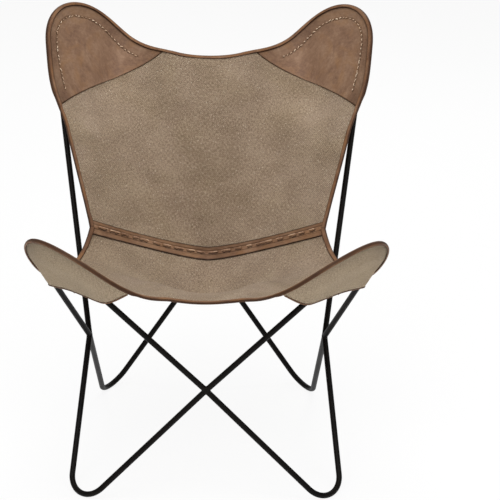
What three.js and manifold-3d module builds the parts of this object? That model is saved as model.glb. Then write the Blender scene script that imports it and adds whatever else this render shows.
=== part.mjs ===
// A butterfly sling chair: a fixed frame of bent round rod that carries a cloth sling on four ears.
// Millimetres, +Z up, the open front of the seat faces -Y, left is -X and the feet stand on Z = 0.
import * as THREE from "three";
import { mergeVertices } from "three/addons/utils/BufferGeometryUtils.js";
import Module from "manifold-3d";

const wasm = await Module();
wasm.setup();

// The rod frame, left half: heights above the floor, reaches forward, back and out from the middle.
const rodDiameter = 12;
const frontCrossForward = 257;
const frontCrossHeight = 241;
const rearCrossBack = 338;
const rearCrossHeight = 307;
const sideJointOut = 251;
const sideJointForward = 8;
const sideJointHeight = 257;
const frontFootOut = 288;
const frontFootForward = 281;
const rearFootOut = 237;
const rearFootBack = 311;
const footBend = 50;
const footFlatDepth = 0.4;
const frontEarOut = 395;
const frontEarForward = 312;
const frontEarHeight = 650;
const frontEarBend = 70;
const rearEarOut = 363;
const rearEarBack = 391;
const rearEarHeight = 1002;
const rearEarBend = 58;
const weldReach = 15;
const crossWeldSpread = 4.2;
const weldSwell = 0.3;

// The sling: thicknesses, the waist where back and seat meet, and the middles of its free edges.
const canvasThickness = 2.4;
const leatherThickness = 1.8;
const pocketThickness = 1.8;
const waistOut = 248;
const waistBack = 35;
const waistHeight = 487;
const waistMiddleBack = 140;
const waistMiddleHeight = 385;
const waistVeeShare = 1.35;
const waistTrim = 0.8;
const topMiddleBack = 322;
const topMiddleHeight = 778;
const frontMiddleForward = 247;
const frontMiddleHeight = 430;
const seatShoulderRise = 60;
const seatMiddleRise = 30;
const flatReach = 100;
const flatFade = 120;

// The ears of the sling: reach of the unrounded corner past the bend, spreads of its two edges,
// shares of those edges that are rounded, and how far each edge keeps its heading at either end.
const backEarReach = 185;
const backTopSpreadDegrees = 46.5;
const backSideSpreadDegrees = 41.2;
const backTopRoundShare = 0.57;
const backSideRoundShare = 0.3;
const backTopHandle = 303;
const backTopMiddleHandle = 125;
const backSideHandle = 165;
const backSideWaistHandle = 109;
const backSideArrivalShares = [0.19, -0.64, -0.75];
const seatEarReach = 150;
const seatFrontSpreadDegrees = 65;
const seatSideSpreadDegrees = 55.4;
const seatFrontRoundShare = 0.51;
const seatSideRoundShare = 0.44;
const seatFrontHandle = 288;
const seatFrontMiddleHandle = 110;
const seatSideHandle = 254;
const seatSideWaistHandle = 203;
const seatSideArrivalShares = [0.23, 0.85, 0.86];

// Trim sewn to the sling.
const bindingWidth = 7;
const bindingThickness = 1.2;
const bandWidth = 33;
const pipingDiameter = 3;
const threadDiameter = 1.2;
const cornerStitchInset = 24;
const pocketDrop = 10.5;

// Where the patches and pockets end, as places on the sheet: across (-1 edge to 0 middle) and up
// (0 waist to 1 free edge), on the side edge, at the middle of the mouth and on the far edge.
const patchMouthShares = { side: 0.46, middle: [-0.5, 0.755], far: -0.235 };
const backPocketMouthShares = { side: 0.52, middle: [-0.6, 0.74], far: -0.4 };
const seatPocketMouthShares = { side: 0.37, middle: [-0.595, 0.625], far: -0.41 };
const coreShares = [-0.45, 0.5];

// Clearances and fineness.
const seatGap = 0.3;
const threadGap = 0.5;
const trimGap = 1.4;
const foldEase = 0.4;
const pipingEndShare = 0.3;
const cutterReach = 12;
const rodSideCount = 16;
const bendStepCount = 9;
const coreRingCount = 8;
const panelColumnCount = 24;
const panelRowCount = 15;
const cornerCellCount = 10;
const pipingSideCount = 6;
const threadStepCount = 44;
const threadSideCount = 4;
const bandCellCount = 4;
const edgeSampleCount = 160;
const halvingCount = 24;
const normalStepShare = 0.01;
const normalMarginShare = 0.05;

const colours = {
  rod: 0x2d2a28,
  canvas: 0x8f7c6a,
  pocket: 0x97846e,
  leather: 0x7c6250,
  binding: 0x5a4232,
  thread: 0xc2a27f,
};

const rodRadius = rodDiameter / 2;
const earLift = rodRadius + seatGap + canvasThickness / 2;
const overlay = canvasThickness / 2 + seatGap;
const pocketSeam = overlay + pocketThickness / 2;
const trimInset = bindingWidth + trimGap;

const point = (x, y, z) => new THREE.Vector3(x, y, z);
const mirrored = (p) => point(-p.x, p.y, p.z);
const mix = (a, b, share) => a.clone().lerp(b, share);

function unitFrom(shares) {
  return point(...shares).normalize();
}

// The rod frame

const frontCross = point(0, -frontCrossForward, frontCrossHeight);
const rearCross = point(0, rearCrossBack, rearCrossHeight);
const sideJoint = point(-sideJointOut, -sideJointForward, sideJointHeight);

// The plane and rounded bend of one hoop, whose legs run from two joints towards one corner.
function hoopFrame(corner, centreJoint, outerJoint, bend) {
  const inner = centreJoint.clone().sub(corner).normalize();
  const outer = outerJoint.clone().sub(corner).normalize();
  const inward = inner.clone().add(outer).normalize();
  const halfAngle = inner.angleTo(outer) / 2;
  const along = inner.clone().sub(outer).normalize();
  const normal = inner.clone().cross(outer).normalize();
  if (normal.x < 0) normal.negate();
  const middle = corner.clone().addScaledVector(inward, bend / Math.sin(halfAngle));
  return { corner, centreJoint, outerJoint, bend, inward, along, normal, halfAngle, middle };
}

function onBend(hoop, angle) {
  return hoop.middle
    .clone()
    .addScaledVector(hoop.inward, -hoop.bend * Math.cos(angle))
    .addScaledVector(hoop.along, hoop.bend * Math.sin(angle));
}

// A foot's corner is sunk until the lowest point of its bend is where the ground flat needs it.
function footHoop(out, forward, centreJoint) {
  const wanted = rodRadius - footFlatDepth;
  let low = -sideJointHeight;
  let high = sideJointHeight / 2;
  let hoop;
  for (let i = 0; i < halvingCount; i++) {
    const height = (low + high) / 2;
    hoop = hoopFrame(point(-out, forward, height), centreJoint, sideJoint, footBend);
    const lowest = hoop.middle.z - footBend * Math.hypot(hoop.inward.z, hoop.along.z);
    if (lowest > wanted) high = height;
    else low = height;
  }
  return hoop;
}

const frontEarCorner = point(-frontEarOut, -frontEarForward, frontEarHeight);
const rearEarCorner = point(-rearEarOut, rearEarBack, rearEarHeight);
const frontEar = hoopFrame(frontEarCorner, frontCross, sideJoint, frontEarBend);
const rearEar = hoopFrame(rearEarCorner, rearCross, sideJoint, rearEarBend);
const frontFoot = footHoop(frontFootOut, -frontFootForward, frontCross);
const rearFoot = footHoop(rearFootOut, rearFootBack, rearCross);

// Leg, bend and leg of a hoop; each leg is one step and the bend is even steps.
class HoopCurve extends THREE.Curve {
  constructor(hoop) {
    super();
    this.hoop = hoop;
    this.stations = bendStepCount + 2;
    this.sweep = Math.PI / 2 - hoop.halfAngle;
    const start = weldReach + seatGap;
    this.from = this.legStart(hoop.outerJoint, start);
    this.to = this.legStart(hoop.centreJoint, start);
  }
  legStart(joint, distance) {
    const heading = this.hoop.corner.clone().sub(joint).normalize();
    return joint.clone().addScaledVector(heading, distance);
  }
  getUtoTmapping(u) {
    return u;
  }
  getPoint(t) {
    const place = t * this.stations;
    if (place <= 1) return mix(this.from, onBend(this.hoop, -this.sweep), Math.max(place, 0));
    if (place >= this.stations - 1) {
      return mix(onBend(this.hoop, this.sweep), this.to, Math.min(place - this.stations + 1, 1));
    }
    return onBend(this.hoop, this.sweep * ((2 * (place - 1)) / bendStepCount - 1));
  }
}

function circleShape(radius, sides) {
  const corners = [];
  for (let i = 0; i < sides; i++) {
    const angle = (2 * Math.PI * i) / sides;
    corners.push(new THREE.Vector2(radius * Math.cos(angle), radius * Math.sin(angle)));
  }
  return new THREE.Shape(corners);
}

function hoopRod(hoop) {
  const path = new HoopCurve(hoop);
  const rod = new THREE.ExtrudeGeometry(circleShape(rodRadius, rodSideCount), {
    steps: path.stations,
    extrudePath: path,
    bevelEnabled: false,
  });
  return joinedSurface(rod);
}

// The bare surface of a geometry, with one vertex where its triangles meet.
function joinedSurface(geometry) {
  const bare = geometry.clone();
  for (const name of Object.keys(bare.attributes)) {
    if (name !== "position") bare.deleteAttribute(name);
  }
  return mergeVertices(bare);
}

function solidFrom(geometry) {
  const merged = joinedSurface(geometry);
  return new wasm.Manifold(
    new wasm.Mesh({
      numProp: 3,
      vertProperties: merged.attributes.position.array,
      triVerts: new Uint32Array(merged.index.array),
    }),
  );
}

function geometryFrom(solid) {
  const mesh = solid.getMesh();
  const geometry = new THREE.BufferGeometry();
  geometry.setAttribute("position", new THREE.BufferAttribute(mesh.vertProperties, 3));
  geometry.setIndex(new THREE.BufferAttribute(mesh.triVerts, 1));
  return geometry;
}

// Each foot bend is ground flat where it stands on the floor.
function footRod(hoop) {
  const span = 2 * (footBend + rodDiameter);
  const block = new THREE.BoxGeometry(span, span, rodDiameter);
  block.translate(hoop.middle.x, hoop.middle.y, -rodDiameter / 2);
  return geometryFrom(solidFrom(hoopRod(hoop)).subtract(solidFrom(block)));
}

// A welded joint: four short stubs in line with the rods, and the weld metal between them.
function weld(joint, corners, spread) {
  const headings = corners.map((corner) => corner.clone().sub(joint).normalize());
  const normal = headings[0].clone().cross(headings[1]).normalize();
  const core = new THREE.SphereGeometry(1, rodSideCount, coreRingCount);
  core.scale(rodRadius + spread, rodRadius + spread, rodRadius + weldSwell);
  core.applyQuaternion(new THREE.Quaternion().setFromUnitVectors(point(0, 0, 1), normal));
  core.translate(joint.x, joint.y, joint.z);
  let solid = solidFrom(core);
  for (const heading of headings) {
    const stub = new THREE.CylinderGeometry(rodRadius, rodRadius, weldReach, rodSideCount);
    stub.translate(0, weldReach / 2, 0);
    stub.applyQuaternion(new THREE.Quaternion().setFromUnitVectors(point(0, 1, 0), heading));
    stub.translate(joint.x, joint.y, joint.z);
    solid = solid.add(solidFrom(stub));
  }
  return geometryFrom(solid);
}

// The sling's two sheets, each a smooth patch between the waist, two side edges and a far edge

// A free edge of a sheet, from the unrounded corner of an ear to its end, by share of its length.
function freeEdge(corner, heading, handle, end, arrival, endHandle) {
  const curve = new THREE.CubicBezierCurve3(
    corner,
    corner.clone().addScaledVector(heading, handle),
    end.clone().addScaledVector(arrival, -endHandle),
    end,
  );
  curve.arcLengthDivisions = edgeSampleCount;
  return (share) => curve.getPointAt(THREE.MathUtils.clamp(share, 0, 1));
}

function spreadFrom(ear, degrees) {
  const angle = THREE.MathUtils.degToRad(degrees);
  const heading = ear.inward.clone().multiplyScalar(Math.cos(angle));
  return heading.addScaledVector(ear.along, Math.sin(angle));
}

function waist(across) {
  const rise = Math.abs(across) ** waistVeeShare;
  return point(
    waistOut * across,
    waistMiddleBack + rise * (waistBack - waistMiddleBack),
    waistMiddleHeight + rise * (waistHeight - waistMiddleHeight),
  );
}

// Rounds the square domain's upper corners, so that the sheet's ears come out round.
function roundedPlace(sheet, across, up) {
  const outer = 1 - (1 - Math.abs(across)) / sheet.farRound;
  const upper = 1 - (1 - up) / sheet.sideRound;
  if (outer <= 0 || upper <= 0) return [across, up];
  const roundOuter = outer * Math.sqrt(1 - upper ** 2 / 2);
  const roundUpper = upper * Math.sqrt(1 - outer ** 2 / 2);
  const side = Math.sign(across);
  return [side * (1 - (1 - roundOuter) * sheet.farRound), 1 - (1 - roundUpper) * sheet.sideRound];
}

// Near the rods the sheet lies flat against the hoop, at a rod's radius from its plane.
function layOnHoop(ear, place) {
  const offset = place.clone().sub(ear.middle);
  const fade = THREE.MathUtils.clamp((flatReach + flatFade - offset.length()) / flatFade, 0, 1);
  const hold = fade * fade * (3 - 2 * fade);
  return place.addScaledVector(ear.normal, hold * (earLift - offset.dot(ear.normal)));
}

// The factors that make the seat's shoulder and middle as high as their rises, where highest.
const shoulderPeak = 1 / (0.5 * (1 - 0.5) * (2 / 3) ** 2 * (1 - 2 / 3));
const middlePeak = 1 / (0.5 * (1 - 0.5));

function sheetPoint(sheet, acrossShare, upShare) {
  const [across, up] = roundedPlace(sheet, acrossShare, upShare);
  const sideways = (across + 1) / 2;
  const left = sheet.sideEdge(1 - up);
  const right = mirrored(left);
  const far = sheet.farEdge(1 - Math.abs(across));
  if (across > 0) far.x = -far.x;
  const near = waist(across);
  const nearEnds = mix(waist(-1), waist(1), sideways);
  const farEnds = mix(sheet.farEdge(0), mirrored(sheet.farEdge(0)), sideways);
  const place = mix(near, far, up).add(mix(left, right, sideways)).sub(mix(nearEnds, farEnds, up));
  const shoulder = shoulderPeak * across ** 2 * (1 - across ** 2) * up ** 2 * (1 - up);
  const middle = middlePeak * (1 - across ** 2) * up * (1 - up);
  place.z += sheet.shoulderRise * shoulder + sheet.middleRise * middle;
  if (across > 0) return mirrored(layOnHoop(sheet.ear, mirrored(place)));
  return layOnHoop(sheet.ear, place);
}

// The sheet's normal points to the sitter's side: up from the seat and forward from the back.
function sheetNormal(sheet, acrossShare, upShare) {
  const limit = 1 - normalMarginShare;
  const across = THREE.MathUtils.clamp(acrossShare, -limit, limit);
  const up = THREE.MathUtils.clamp(upShare, normalStepShare, limit);
  const sideways = sheetPoint(sheet, across + normalStepShare, up);
  sideways.sub(sheetPoint(sheet, across - normalStepShare, up));
  const rising = sheetPoint(sheet, across, up + normalStepShare);
  rising.sub(sheetPoint(sheet, across, up - normalStepShare));
  return sideways.cross(rising).multiplyScalar(sheet.facing).normalize();
}

function makeSheet(ear, shape) {
  const corner = ear.middle
    .clone()
    .addScaledVector(ear.inward, -shape.reach)
    .addScaledVector(ear.normal, earLift);
  const sheet = {
    ear,
    facing: shape.facing,
    shoulderRise: shape.shoulderRise,
    middleRise: shape.middleRise,
    farRound: shape.farRound,
    sideRound: shape.sideRound,
    farEdge: freeEdge(corner, spreadFrom(ear, shape.farSpread), shape.farHandle,
      shape.farMiddle, point(1, 0, 0), shape.farMiddleHandle),
    sideEdge: freeEdge(corner, spreadFrom(ear, -shape.sideSpread), shape.sideHandle,
      waist(-1), shape.sideArrival, shape.sideWaistHandle),
  };
  sheet.grid = panelGrid(sheet);
  sheet.rim = rimStations(sheet.grid).map(({ edge }) => edge.place);
  return sheet;
}

// The sheet's own grid of places and normals, from just off the waist to the far edge.
function panelGrid(sheet) {
  const grid = [];
  const start = waistTrim / waist(0).distanceTo(sheetPoint(sheet, 0, 1));
  for (let column = 0; column <= panelColumnCount; column++) {
    const across = (2 * column) / panelColumnCount - 1;
    grid.push([]);
    for (let row = 0; row <= panelRowCount; row++) {
      const up = start + ((1 - start) * row) / panelRowCount;
      const normal = sheetNormal(sheet, across, up);
      grid[column].push({ place: sheetPoint(sheet, across, up), normal });
    }
  }
  return grid;
}

// The grid's edge from the left waist over both ears to the right waist, each station with the
// next place inside it.
function rimStations(grid) {
  const stations = [];
  const addStation = (column, row, insideColumn, insideRow) =>
    stations.push({ edge: grid[column][row], inside: grid[insideColumn][insideRow] });
  for (let row = 0; row < panelRowCount; row++) addStation(0, row, 1, row);
  addStation(0, panelRowCount, 1, panelRowCount - 1);
  for (let column = 1; column < panelColumnCount; column++) {
    addStation(column, panelRowCount, column, panelRowCount - 1);
  }
  addStation(panelColumnCount, panelRowCount, panelColumnCount - 1, panelRowCount - 1);
  for (let row = panelRowCount - 1; row >= 0; row--) {
    addStation(panelColumnCount, row, panelColumnCount - 1, row);
  }
  return stations;
}

// A place on the left rim: 0 at the waist, a half at the ear's tip, 1 at the far edge's middle.
function rimPlace(share) {
  return share < 1 / 2 ? [-1, 2 * share] : [2 * share - 2, 1];
}

const backSheet = makeSheet(rearEar, {
  facing: 1,
  shoulderRise: 0,
  middleRise: 0,
  reach: backEarReach,
  farSpread: backTopSpreadDegrees,
  sideSpread: backSideSpreadDegrees,
  farRound: backTopRoundShare,
  sideRound: backSideRoundShare,
  farHandle: backTopHandle,
  farMiddle: point(0, topMiddleBack, topMiddleHeight),
  farMiddleHandle: backTopMiddleHandle,
  sideHandle: backSideHandle,
  sideArrival: unitFrom(backSideArrivalShares),
  sideWaistHandle: backSideWaistHandle,
});

const seatSheet = makeSheet(frontEar, {
  facing: -1,
  shoulderRise: seatShoulderRise,
  middleRise: seatMiddleRise,
  reach: seatEarReach,
  farSpread: seatFrontSpreadDegrees,
  sideSpread: seatSideSpreadDegrees,
  farRound: seatFrontRoundShare,
  sideRound: seatSideRoundShare,
  farHandle: seatFrontHandle,
  farMiddle: point(0, -frontMiddleForward, frontMiddleHeight),
  farMiddleHandle: seatFrontMiddleHandle,
  sideHandle: seatSideHandle,
  sideArrival: unitFrom(seatSideArrivalShares),
  sideWaistHandle: seatSideWaistHandle,
});

// A place and normal on the grid itself, between its four nearest corners.
function onGrid(sheet, columnAt, rowAt) {
  const column = THREE.MathUtils.clamp(Math.floor(columnAt), 0, panelColumnCount - 1);
  const row = THREE.MathUtils.clamp(Math.floor(rowAt), 0, panelRowCount - 1);
  const between = (key) => {
    const [a, b] = [sheet.grid[column], sheet.grid[column + 1]];
    const low = mix(a[row][key], b[row][key], columnAt - column);
    return low.lerp(mix(a[row + 1][key], b[row + 1][key], columnAt - column), rowAt - row);
  };
  return { place: between("place"), normal: between("normal").normalize() };
}

function rimDistance(sheet, place) {
  let nearest = Infinity;
  const foot = point();
  const run = new THREE.Line3();
  for (let i = 0; i + 1 < sheet.rim.length; i++) {
    run.set(sheet.rim[i], sheet.rim[i + 1]).closestPointToPoint(place, true, foot);
    nearest = Math.min(nearest, foot.distanceTo(place));
  }
  return nearest;
}

// The place on the sheet that lies this far in from a place on its rim.
function insetPlace(sheet, rimAt, distance) {
  let low = 0;
  let high = 1;
  const at = (share) => rimAt.map((value, axis) => value + (coreShares[axis] - value) * share);
  for (let i = 0; i < halvingCount; i++) {
    const share = (low + high) / 2;
    if (rimDistance(sheet, sheetPoint(sheet, ...at(share))) < distance) low = share;
    else high = share;
  }
  return at(low);
}

// Closed solids from grids and swept outlines

function closedGeometry(positions, triangles) {
  const geometry = new THREE.BufferGeometry();
  geometry.setAttribute("position", new THREE.Float32BufferAttribute(positions, 3));
  geometry.setIndex(triangles);
  return geometry;
}

// A slab from a grid of places, each with the vector from the slab's middle to its upper face.
// Its cells are split the same way on both faces, and the right half mirrors the left.
function slab(columns, rows, placeAt) {
  const positions = [];
  const triangles = [];
  const quad = (a, b, c, d) => triangles.push(a, b, c, a, c, d);
  const size = (columns + 1) * (rows + 1);
  for (const side of [1, -1]) {
    for (let row = 0; row <= rows; row++) {
      for (let column = 0; column <= columns; column++) {
        const { middle, half } = placeAt(column / columns, row / rows);
        positions.push(...middle.clone().addScaledVector(half, side).toArray());
      }
    }
  }
  const index = (column, row) => row * (columns + 1) + column;
  for (let row = 0; row < rows; row++) {
    for (let column = 0; column < columns; column++) {
      const corners = [
        index(column, row),
        index(column + 1, row),
        index(column + 1, row + 1),
        index(column, row + 1),
      ];
      if (2 * column >= columns) corners.push(corners.shift());
      const [a, b, c, d] = corners;
      quad(a, b, c, d);
      quad(size + a, size + d, size + c, size + b);
    }
  }
  const rim = [];
  for (let column = 0; column < columns; column++) rim.push(index(column, 0));
  for (let row = 0; row < rows; row++) rim.push(index(columns, row));
  for (let column = columns; column > 0; column--) rim.push(index(column, rows));
  for (let row = rows; row > 0; row--) rim.push(index(0, row));
  rim.forEach((a, i) => {
    const b = rim[(i + 1) % rim.length];
    quad(b, a, size + a, size + b);
  });
  return facingOut(closedGeometry(positions, triangles));
}

// A bar from a row of equal outlines, closed at both ends.
function sweptBar(outlines, capTriangles) {
  const sides = outlines[0].length;
  const last = (outlines.length - 1) * sides;
  const triangles = [];
  for (let step = 0; step + 1 < outlines.length; step++) {
    for (let side = 0; side < sides; side++) {
      const a = step * sides + side;
      const b = step * sides + ((side + 1) % sides);
      triangles.push(a, b, b + sides, a, b + sides, a + sides);
    }
  }
  for (const [a, b, c] of capTriangles) triangles.push(a, c, b, last + a, last + b, last + c);
  return facingOut(closedGeometry(outlines.flat().flatMap((p) => p.toArray()), triangles));
}

function facingOut(geometry) {
  const corners = geometry.attributes.position;
  const index = geometry.index.array;
  const [a, b, c] = [point(), point(), point()];
  let volume = 0;
  for (let i = 0; i < index.length; i += 3) {
    a.fromBufferAttribute(corners, index[i]);
    b.fromBufferAttribute(corners, index[i + 1]);
    c.fromBufferAttribute(corners, index[i + 2]);
    volume += a.dot(b.cross(c));
  }
  return volume < 0 ? turnedInsideOut(geometry) : geometry;
}

function turnedInsideOut(geometry) {
  const index = geometry.index.array;
  for (let i = 0; i < index.length; i += 3) {
    [index[i + 1], index[i + 2]] = [index[i + 2], index[i + 1]];
  }
  return geometry;
}

function mirroredGeometry(geometry) {
  return turnedInsideOut(geometry.clone().applyMatrix4(new THREE.Matrix4().makeScale(-1, 1, 1)));
}

// The canvas panels

// A layer of the sheet between two heights over its middle surface.
function layer(sheet, low, high) {
  return slab(panelColumnCount, panelRowCount, (column, row) => {
    const gridColumn = sheet.grid[Math.round(column * panelColumnCount)];
    const { place, normal } = gridColumn[Math.round(row * panelRowCount)];
    const middle = place.clone().addScaledVector(normal, (low + high) / 2);
    return { middle, half: normal.clone().multiplyScalar((high - low) / 2) };
  });
}

// Trim and pockets are pared to clear the canvas that they lie against.
function clearOfCanvas(geometry, sheets) {
  const reach = canvasThickness / 2 + seatGap;
  let solid = solidFrom(geometry);
  for (const sheet of sheets) solid = solid.subtract(solidFrom(layer(sheet, -reach, reach)));
  return geometryFrom(solid);
}

// A folded tape round an edge: its outline stands across the edge, open towards the cloth.
function foldedTape(places, clothThickness, width, thickness) {
  const inner = clothThickness / 2 + seatGap + foldEase;
  const outer = inner + thickness;
  const fold = (nose, height) => [[width, height], [nose, height], [nose, -height], [width, -height]];
  const outside = fold(-seatGap - thickness, outer);
  const profile = [...outside, ...fold(-seatGap, inner).reverse()];
  const last = profile.length - 1;
  const caps = [];
  for (let i = 0; i + 1 < outside.length; i++) {
    caps.push([i, i + 1, last - i]);
    caps.push([i + 1, last - i - 1, last - i]);
  }
  const outlines = places.map(({ edge, inward, normal }) =>
    profile.map(([reach, height]) =>
      edge.clone().addScaledVector(inward, reach).addScaledVector(normal, height),
    ),
  );
  return sweptBar(outlines, caps);
}

// Edge places with the directions into the cloth and up from it, square to the edge's own run.
function edgePlaces(stations) {
  return stations.map(({ edge, inside }, i) => {
    const before = stations[Math.max(i - 1, 0)].edge.place;
    const after = stations[Math.min(i + 1, stations.length - 1)].edge.place;
    const run = after.clone().sub(before).normalize();
    const inward = inside.place.clone().sub(edge.place).projectOnPlane(run).normalize();
    const normal = inward.clone().cross(run).normalize();
    if (normal.dot(edge.normal) < 0) normal.negate();
    return { edge: edge.place, inward, normal };
  });
}

// The edge binding runs up one side, over both ears and the far edge between them, and down.
function binding(sheet) {
  const places = edgePlaces(rimStations(sheet.grid));
  const tape = foldedTape(places, canvasThickness, bindingWidth, bindingThickness);
  return clearOfCanvas(tape, [sheet]);
}

// The corner pieces: a patch on the sitter's side and a pocket on the far side of the rod

// Places inside a corner piece: right along the far edge and down along the side edge, from the
// tip of the ear. Its mouth is one smooth line from the side edge through its middle to the far edge.
function cornerPlace(sheet, mouth, right, down) {
  const alongFar = (share) => insetPlace(sheet, [-1 + (mouth.far + 1) * share, 1], trimInset);
  const alongSide = (share) => insetPlace(sheet, [-1, 1 + (mouth.side - 1) * share], trimInset);
  const blend = (a, b, share) => a.map((value, axis) => value + (b[axis] - value) * share);
  const tip = alongFar(0);
  const farEnd = alongFar(1);
  const sideEnd = alongSide(1);
  const bulge = mouth.middle.map((value, axis) => 2 * value - (sideEnd[axis] + farEnd[axis]) / 2);
  const alongMouth = (share) =>
    blend(blend(sideEnd, bulge, share), blend(bulge, farEnd, share), share);
  const ruledDown = blend(alongFar(right), alongMouth(right / 2), down);
  const ruledRight = blend(alongSide(down), alongMouth(1 - down / 2), right);
  const corners = blend(blend(tip, farEnd, right), blend(sideEnd, mouth.middle, right), down);
  return ruledDown.map((value, axis) => value + ruledRight[axis] - corners[axis]);
}

// The patch is the part of a leather layer over the sheet that lies inside the corner piece.
function cornerPatch(sheet, mouth) {
  const cutter = slab(cornerCellCount, cornerCellCount, (right, down) => {
    const place = cornerPlace(sheet, mouth, right, down);
    const half = sheetNormal(sheet, ...place).multiplyScalar(cutterReach);
    return { middle: sheetPoint(sheet, ...place), half };
  });
  const leather = layer(sheet, overlay, overlay + leatherThickness);
  return geometryFrom(solidFrom(leather).intersect(solidFrom(cutter)));
}

// How far a place lies outside a hoop's centre line, measured in the hoop's plane.
function beyondRod(hoop, place) {
  const offset = place.clone().sub(hoop.middle);
  const inward = offset.dot(hoop.inward);
  const along = Math.abs(offset.dot(hoop.along));
  if (Math.atan2(along, -inward) < Math.PI / 2 - hoop.halfAngle) {
    return Math.hypot(inward, along) - hoop.bend;
  }
  return along * Math.cos(hoop.halfAngle) - inward * Math.sin(hoop.halfAngle) - hoop.bend;
}

// The pocket hangs under the rod and rises outside it to meet the sheet along the ear's edge.
function pocketPoint(sheet, place) {
  const { ear } = sheet;
  const above = sheetPoint(sheet, ...place);
  const height = above.clone().sub(ear.middle).dot(ear.normal);
  const beyond = Math.max(beyondRod(ear, above) - rodRadius / 2, 0);
  const toSeam = Math.max(rimDistance(sheet, above) - trimInset, 0);
  const rise = (beyond / (beyond + toSeam + seatGap)) ** 2;
  const wanted = THREE.MathUtils.lerp(-pocketDrop, height - pocketSeam, rise);
  return above.addScaledVector(ear.normal, wanted - height);
}

function pocket(sheet, mouth) {
  const cloth = slab(cornerCellCount, cornerCellCount, (right, down) => ({
    middle: pocketPoint(sheet, cornerPlace(sheet, mouth, right, down)),
    half: sheet.ear.normal.clone().multiplyScalar(pocketThickness / 2),
  }));
  return clearOfCanvas(cloth, [sheet]);
}

// A round bar along a row of places, each with a direction square to the run.
function roundBar(places, diameter, sides) {
  const caps = [];
  for (let side = 1; side + 1 < sides; side++) caps.push([0, side, side + 1]);
  const outlines = places.map(({ edge, inward, normal }) => {
    const ring = [];
    for (let side = 0; side < sides; side++) {
      const angle = (2 * Math.PI * side) / sides;
      const reach = (diameter / 2) * Math.cos(angle);
      const rise = (diameter / 2) * Math.sin(angle);
      ring.push(edge.clone().addScaledVector(inward, reach).addScaledVector(normal, rise));
    }
    return ring;
  });
  return sweptBar(outlines, caps);
}

// Piping finishes the pocket's mouth, from near the side edge to near the far edge.
function pocketPiping(sheet, mouth) {
  const placeAt = (right, down) => ({
    place: pocketPoint(sheet, cornerPlace(sheet, mouth, right, down)),
    normal: sheet.ear.normal,
  });
  const stations = [];
  const cell = 1 / cornerCellCount;
  for (let step = 0; step <= 2 * cornerCellCount; step++) {
    const right = Math.min(step * cell, 1);
    const down = Math.min((2 * cornerCellCount - step) * cell, 1);
    const inside = placeAt(
      right - (step < cornerCellCount ? 0 : cell),
      down - (step > cornerCellCount ? 0 : cell),
    );
    stations.push({ edge: placeAt(right, down), inside });
  }
  const places = edgePlaces(stations);
  for (const { edge, inward } of places) edge.addScaledVector(inward, -seatGap - pipingDiameter / 2);
  const last = places.length - 1;
  places[0].edge.lerp(places[1].edge, pipingEndShare);
  places[last].edge.lerp(places[last - 1].edge, pipingEndShare);
  return roundBar(places, pipingDiameter, pipingSideCount);
}

// The leather band over the seam at the waist

// A place over the seam: a column of the sheets' grids, and a distance up the back or down the seat.
function bandPlace(column, distance, lift) {
  const sheet = distance < 0 ? seatSheet : backSheet;
  const near = onGrid(sheet, column, 0);
  const next = onGrid(sheet, column, 1);
  if (distance === 0) {
    const other = onGrid(seatSheet, column, 0);
    const normal = near.normal.clone().add(other.normal).normalize();
    const rise = lift / normal.dot(near.normal);
    return { middle: mix(near.place, other.place, 1 / 2).addScaledVector(normal, rise), normal };
  }
  const share = (Math.abs(distance) - waistTrim) / near.place.distanceTo(next.place);
  const normal = mix(near.normal, next.normal, share).normalize();
  return { middle: mix(near.place, next.place, share).addScaledVector(normal, lift), normal };
}

// The band stops short of the edge bindings at either end.
function bandColumn(step) {
  const end = (panelColumnCount * trimInset) / (2 * waistOut);
  return THREE.MathUtils.clamp(step, end, panelColumnCount - end);
}

function waistBand() {
  const band = slab(panelColumnCount, bandCellCount, (column, row) => {
    const step = Math.round(column * panelColumnCount);
    const lift = overlay + foldEase + leatherThickness / 2;
    const { middle, normal } = bandPlace(bandColumn(step), bandWidth * (row - 1 / 2), lift);
    return { middle, half: normal.multiplyScalar(leatherThickness / 2) };
  });
  return clearOfCanvas(band, [backSheet, seatSheet]);
}

// Threads, each one round cord that lies on the leather

const threadLift = overlay + leatherThickness + threadGap + threadDiameter / 2;

function cord(stations) {
  return roundBar(edgePlaces(stations), threadDiameter, threadSideCount);
}

function cornerThread(sheet, mouth) {
  const stations = [];
  const start = (mouth.side + cornerStitchInset / waistOut) / 2;
  const end = 1 + (mouth.far - cornerStitchInset / waistOut) / 2;
  for (let step = 0; step <= threadStepCount; step++) {
    const rim = rimPlace(start + ((end - start) * step) / threadStepCount);
    const at = insetPlace(sheet, rim, cornerStitchInset);
    const { place, normal } = onGrid(sheet, ((at[0] + 1) / 2) * panelColumnCount, at[1] * panelRowCount);
    place.addScaledVector(normal, threadLift);
    const inside = { place: sheetPoint(sheet, ...coreShares) };
    stations.push({ edge: { place, normal }, inside });
  }
  return cord(stations);
}

function bandThread() {
  const stations = [];
  for (let step = 1; step < panelColumnCount; step++) {
    const { middle, normal } = bandPlace(step, 0, threadLift + foldEase);
    const inside = { place: bandPlace(step, bandWidth / 2, threadLift).middle };
    stations.push({ edge: { place: middle, normal }, inside });
  }
  return cord(stations);
}

// The whole chair

const chair = new THREE.Group();
chair.name = "butterfly_sling_chair";

function add(name, geometry, colour, roughness, metalness = 0) {
  const material = new THREE.MeshStandardMaterial({ color: colour, roughness, metalness });
  const mesh = new THREE.Mesh(geometry, material);
  mesh.name = name;
  chair.add(mesh);
}

function addPair(name, geometry, ...look) {
  add("left_" + name, geometry, ...look);
  add("right_" + name, mirroredGeometry(geometry), ...look);
}

const rodLook = [colours.rod, 0.45, 0.5];
const canvasLook = [colours.canvas, 0.95];
const pocketLook = [colours.pocket, 0.95];
const leatherLook = [colours.leather, 0.7];
const bindingLook = [colours.binding, 0.75];
const threadLook = [colours.thread, 0.9];

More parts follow.
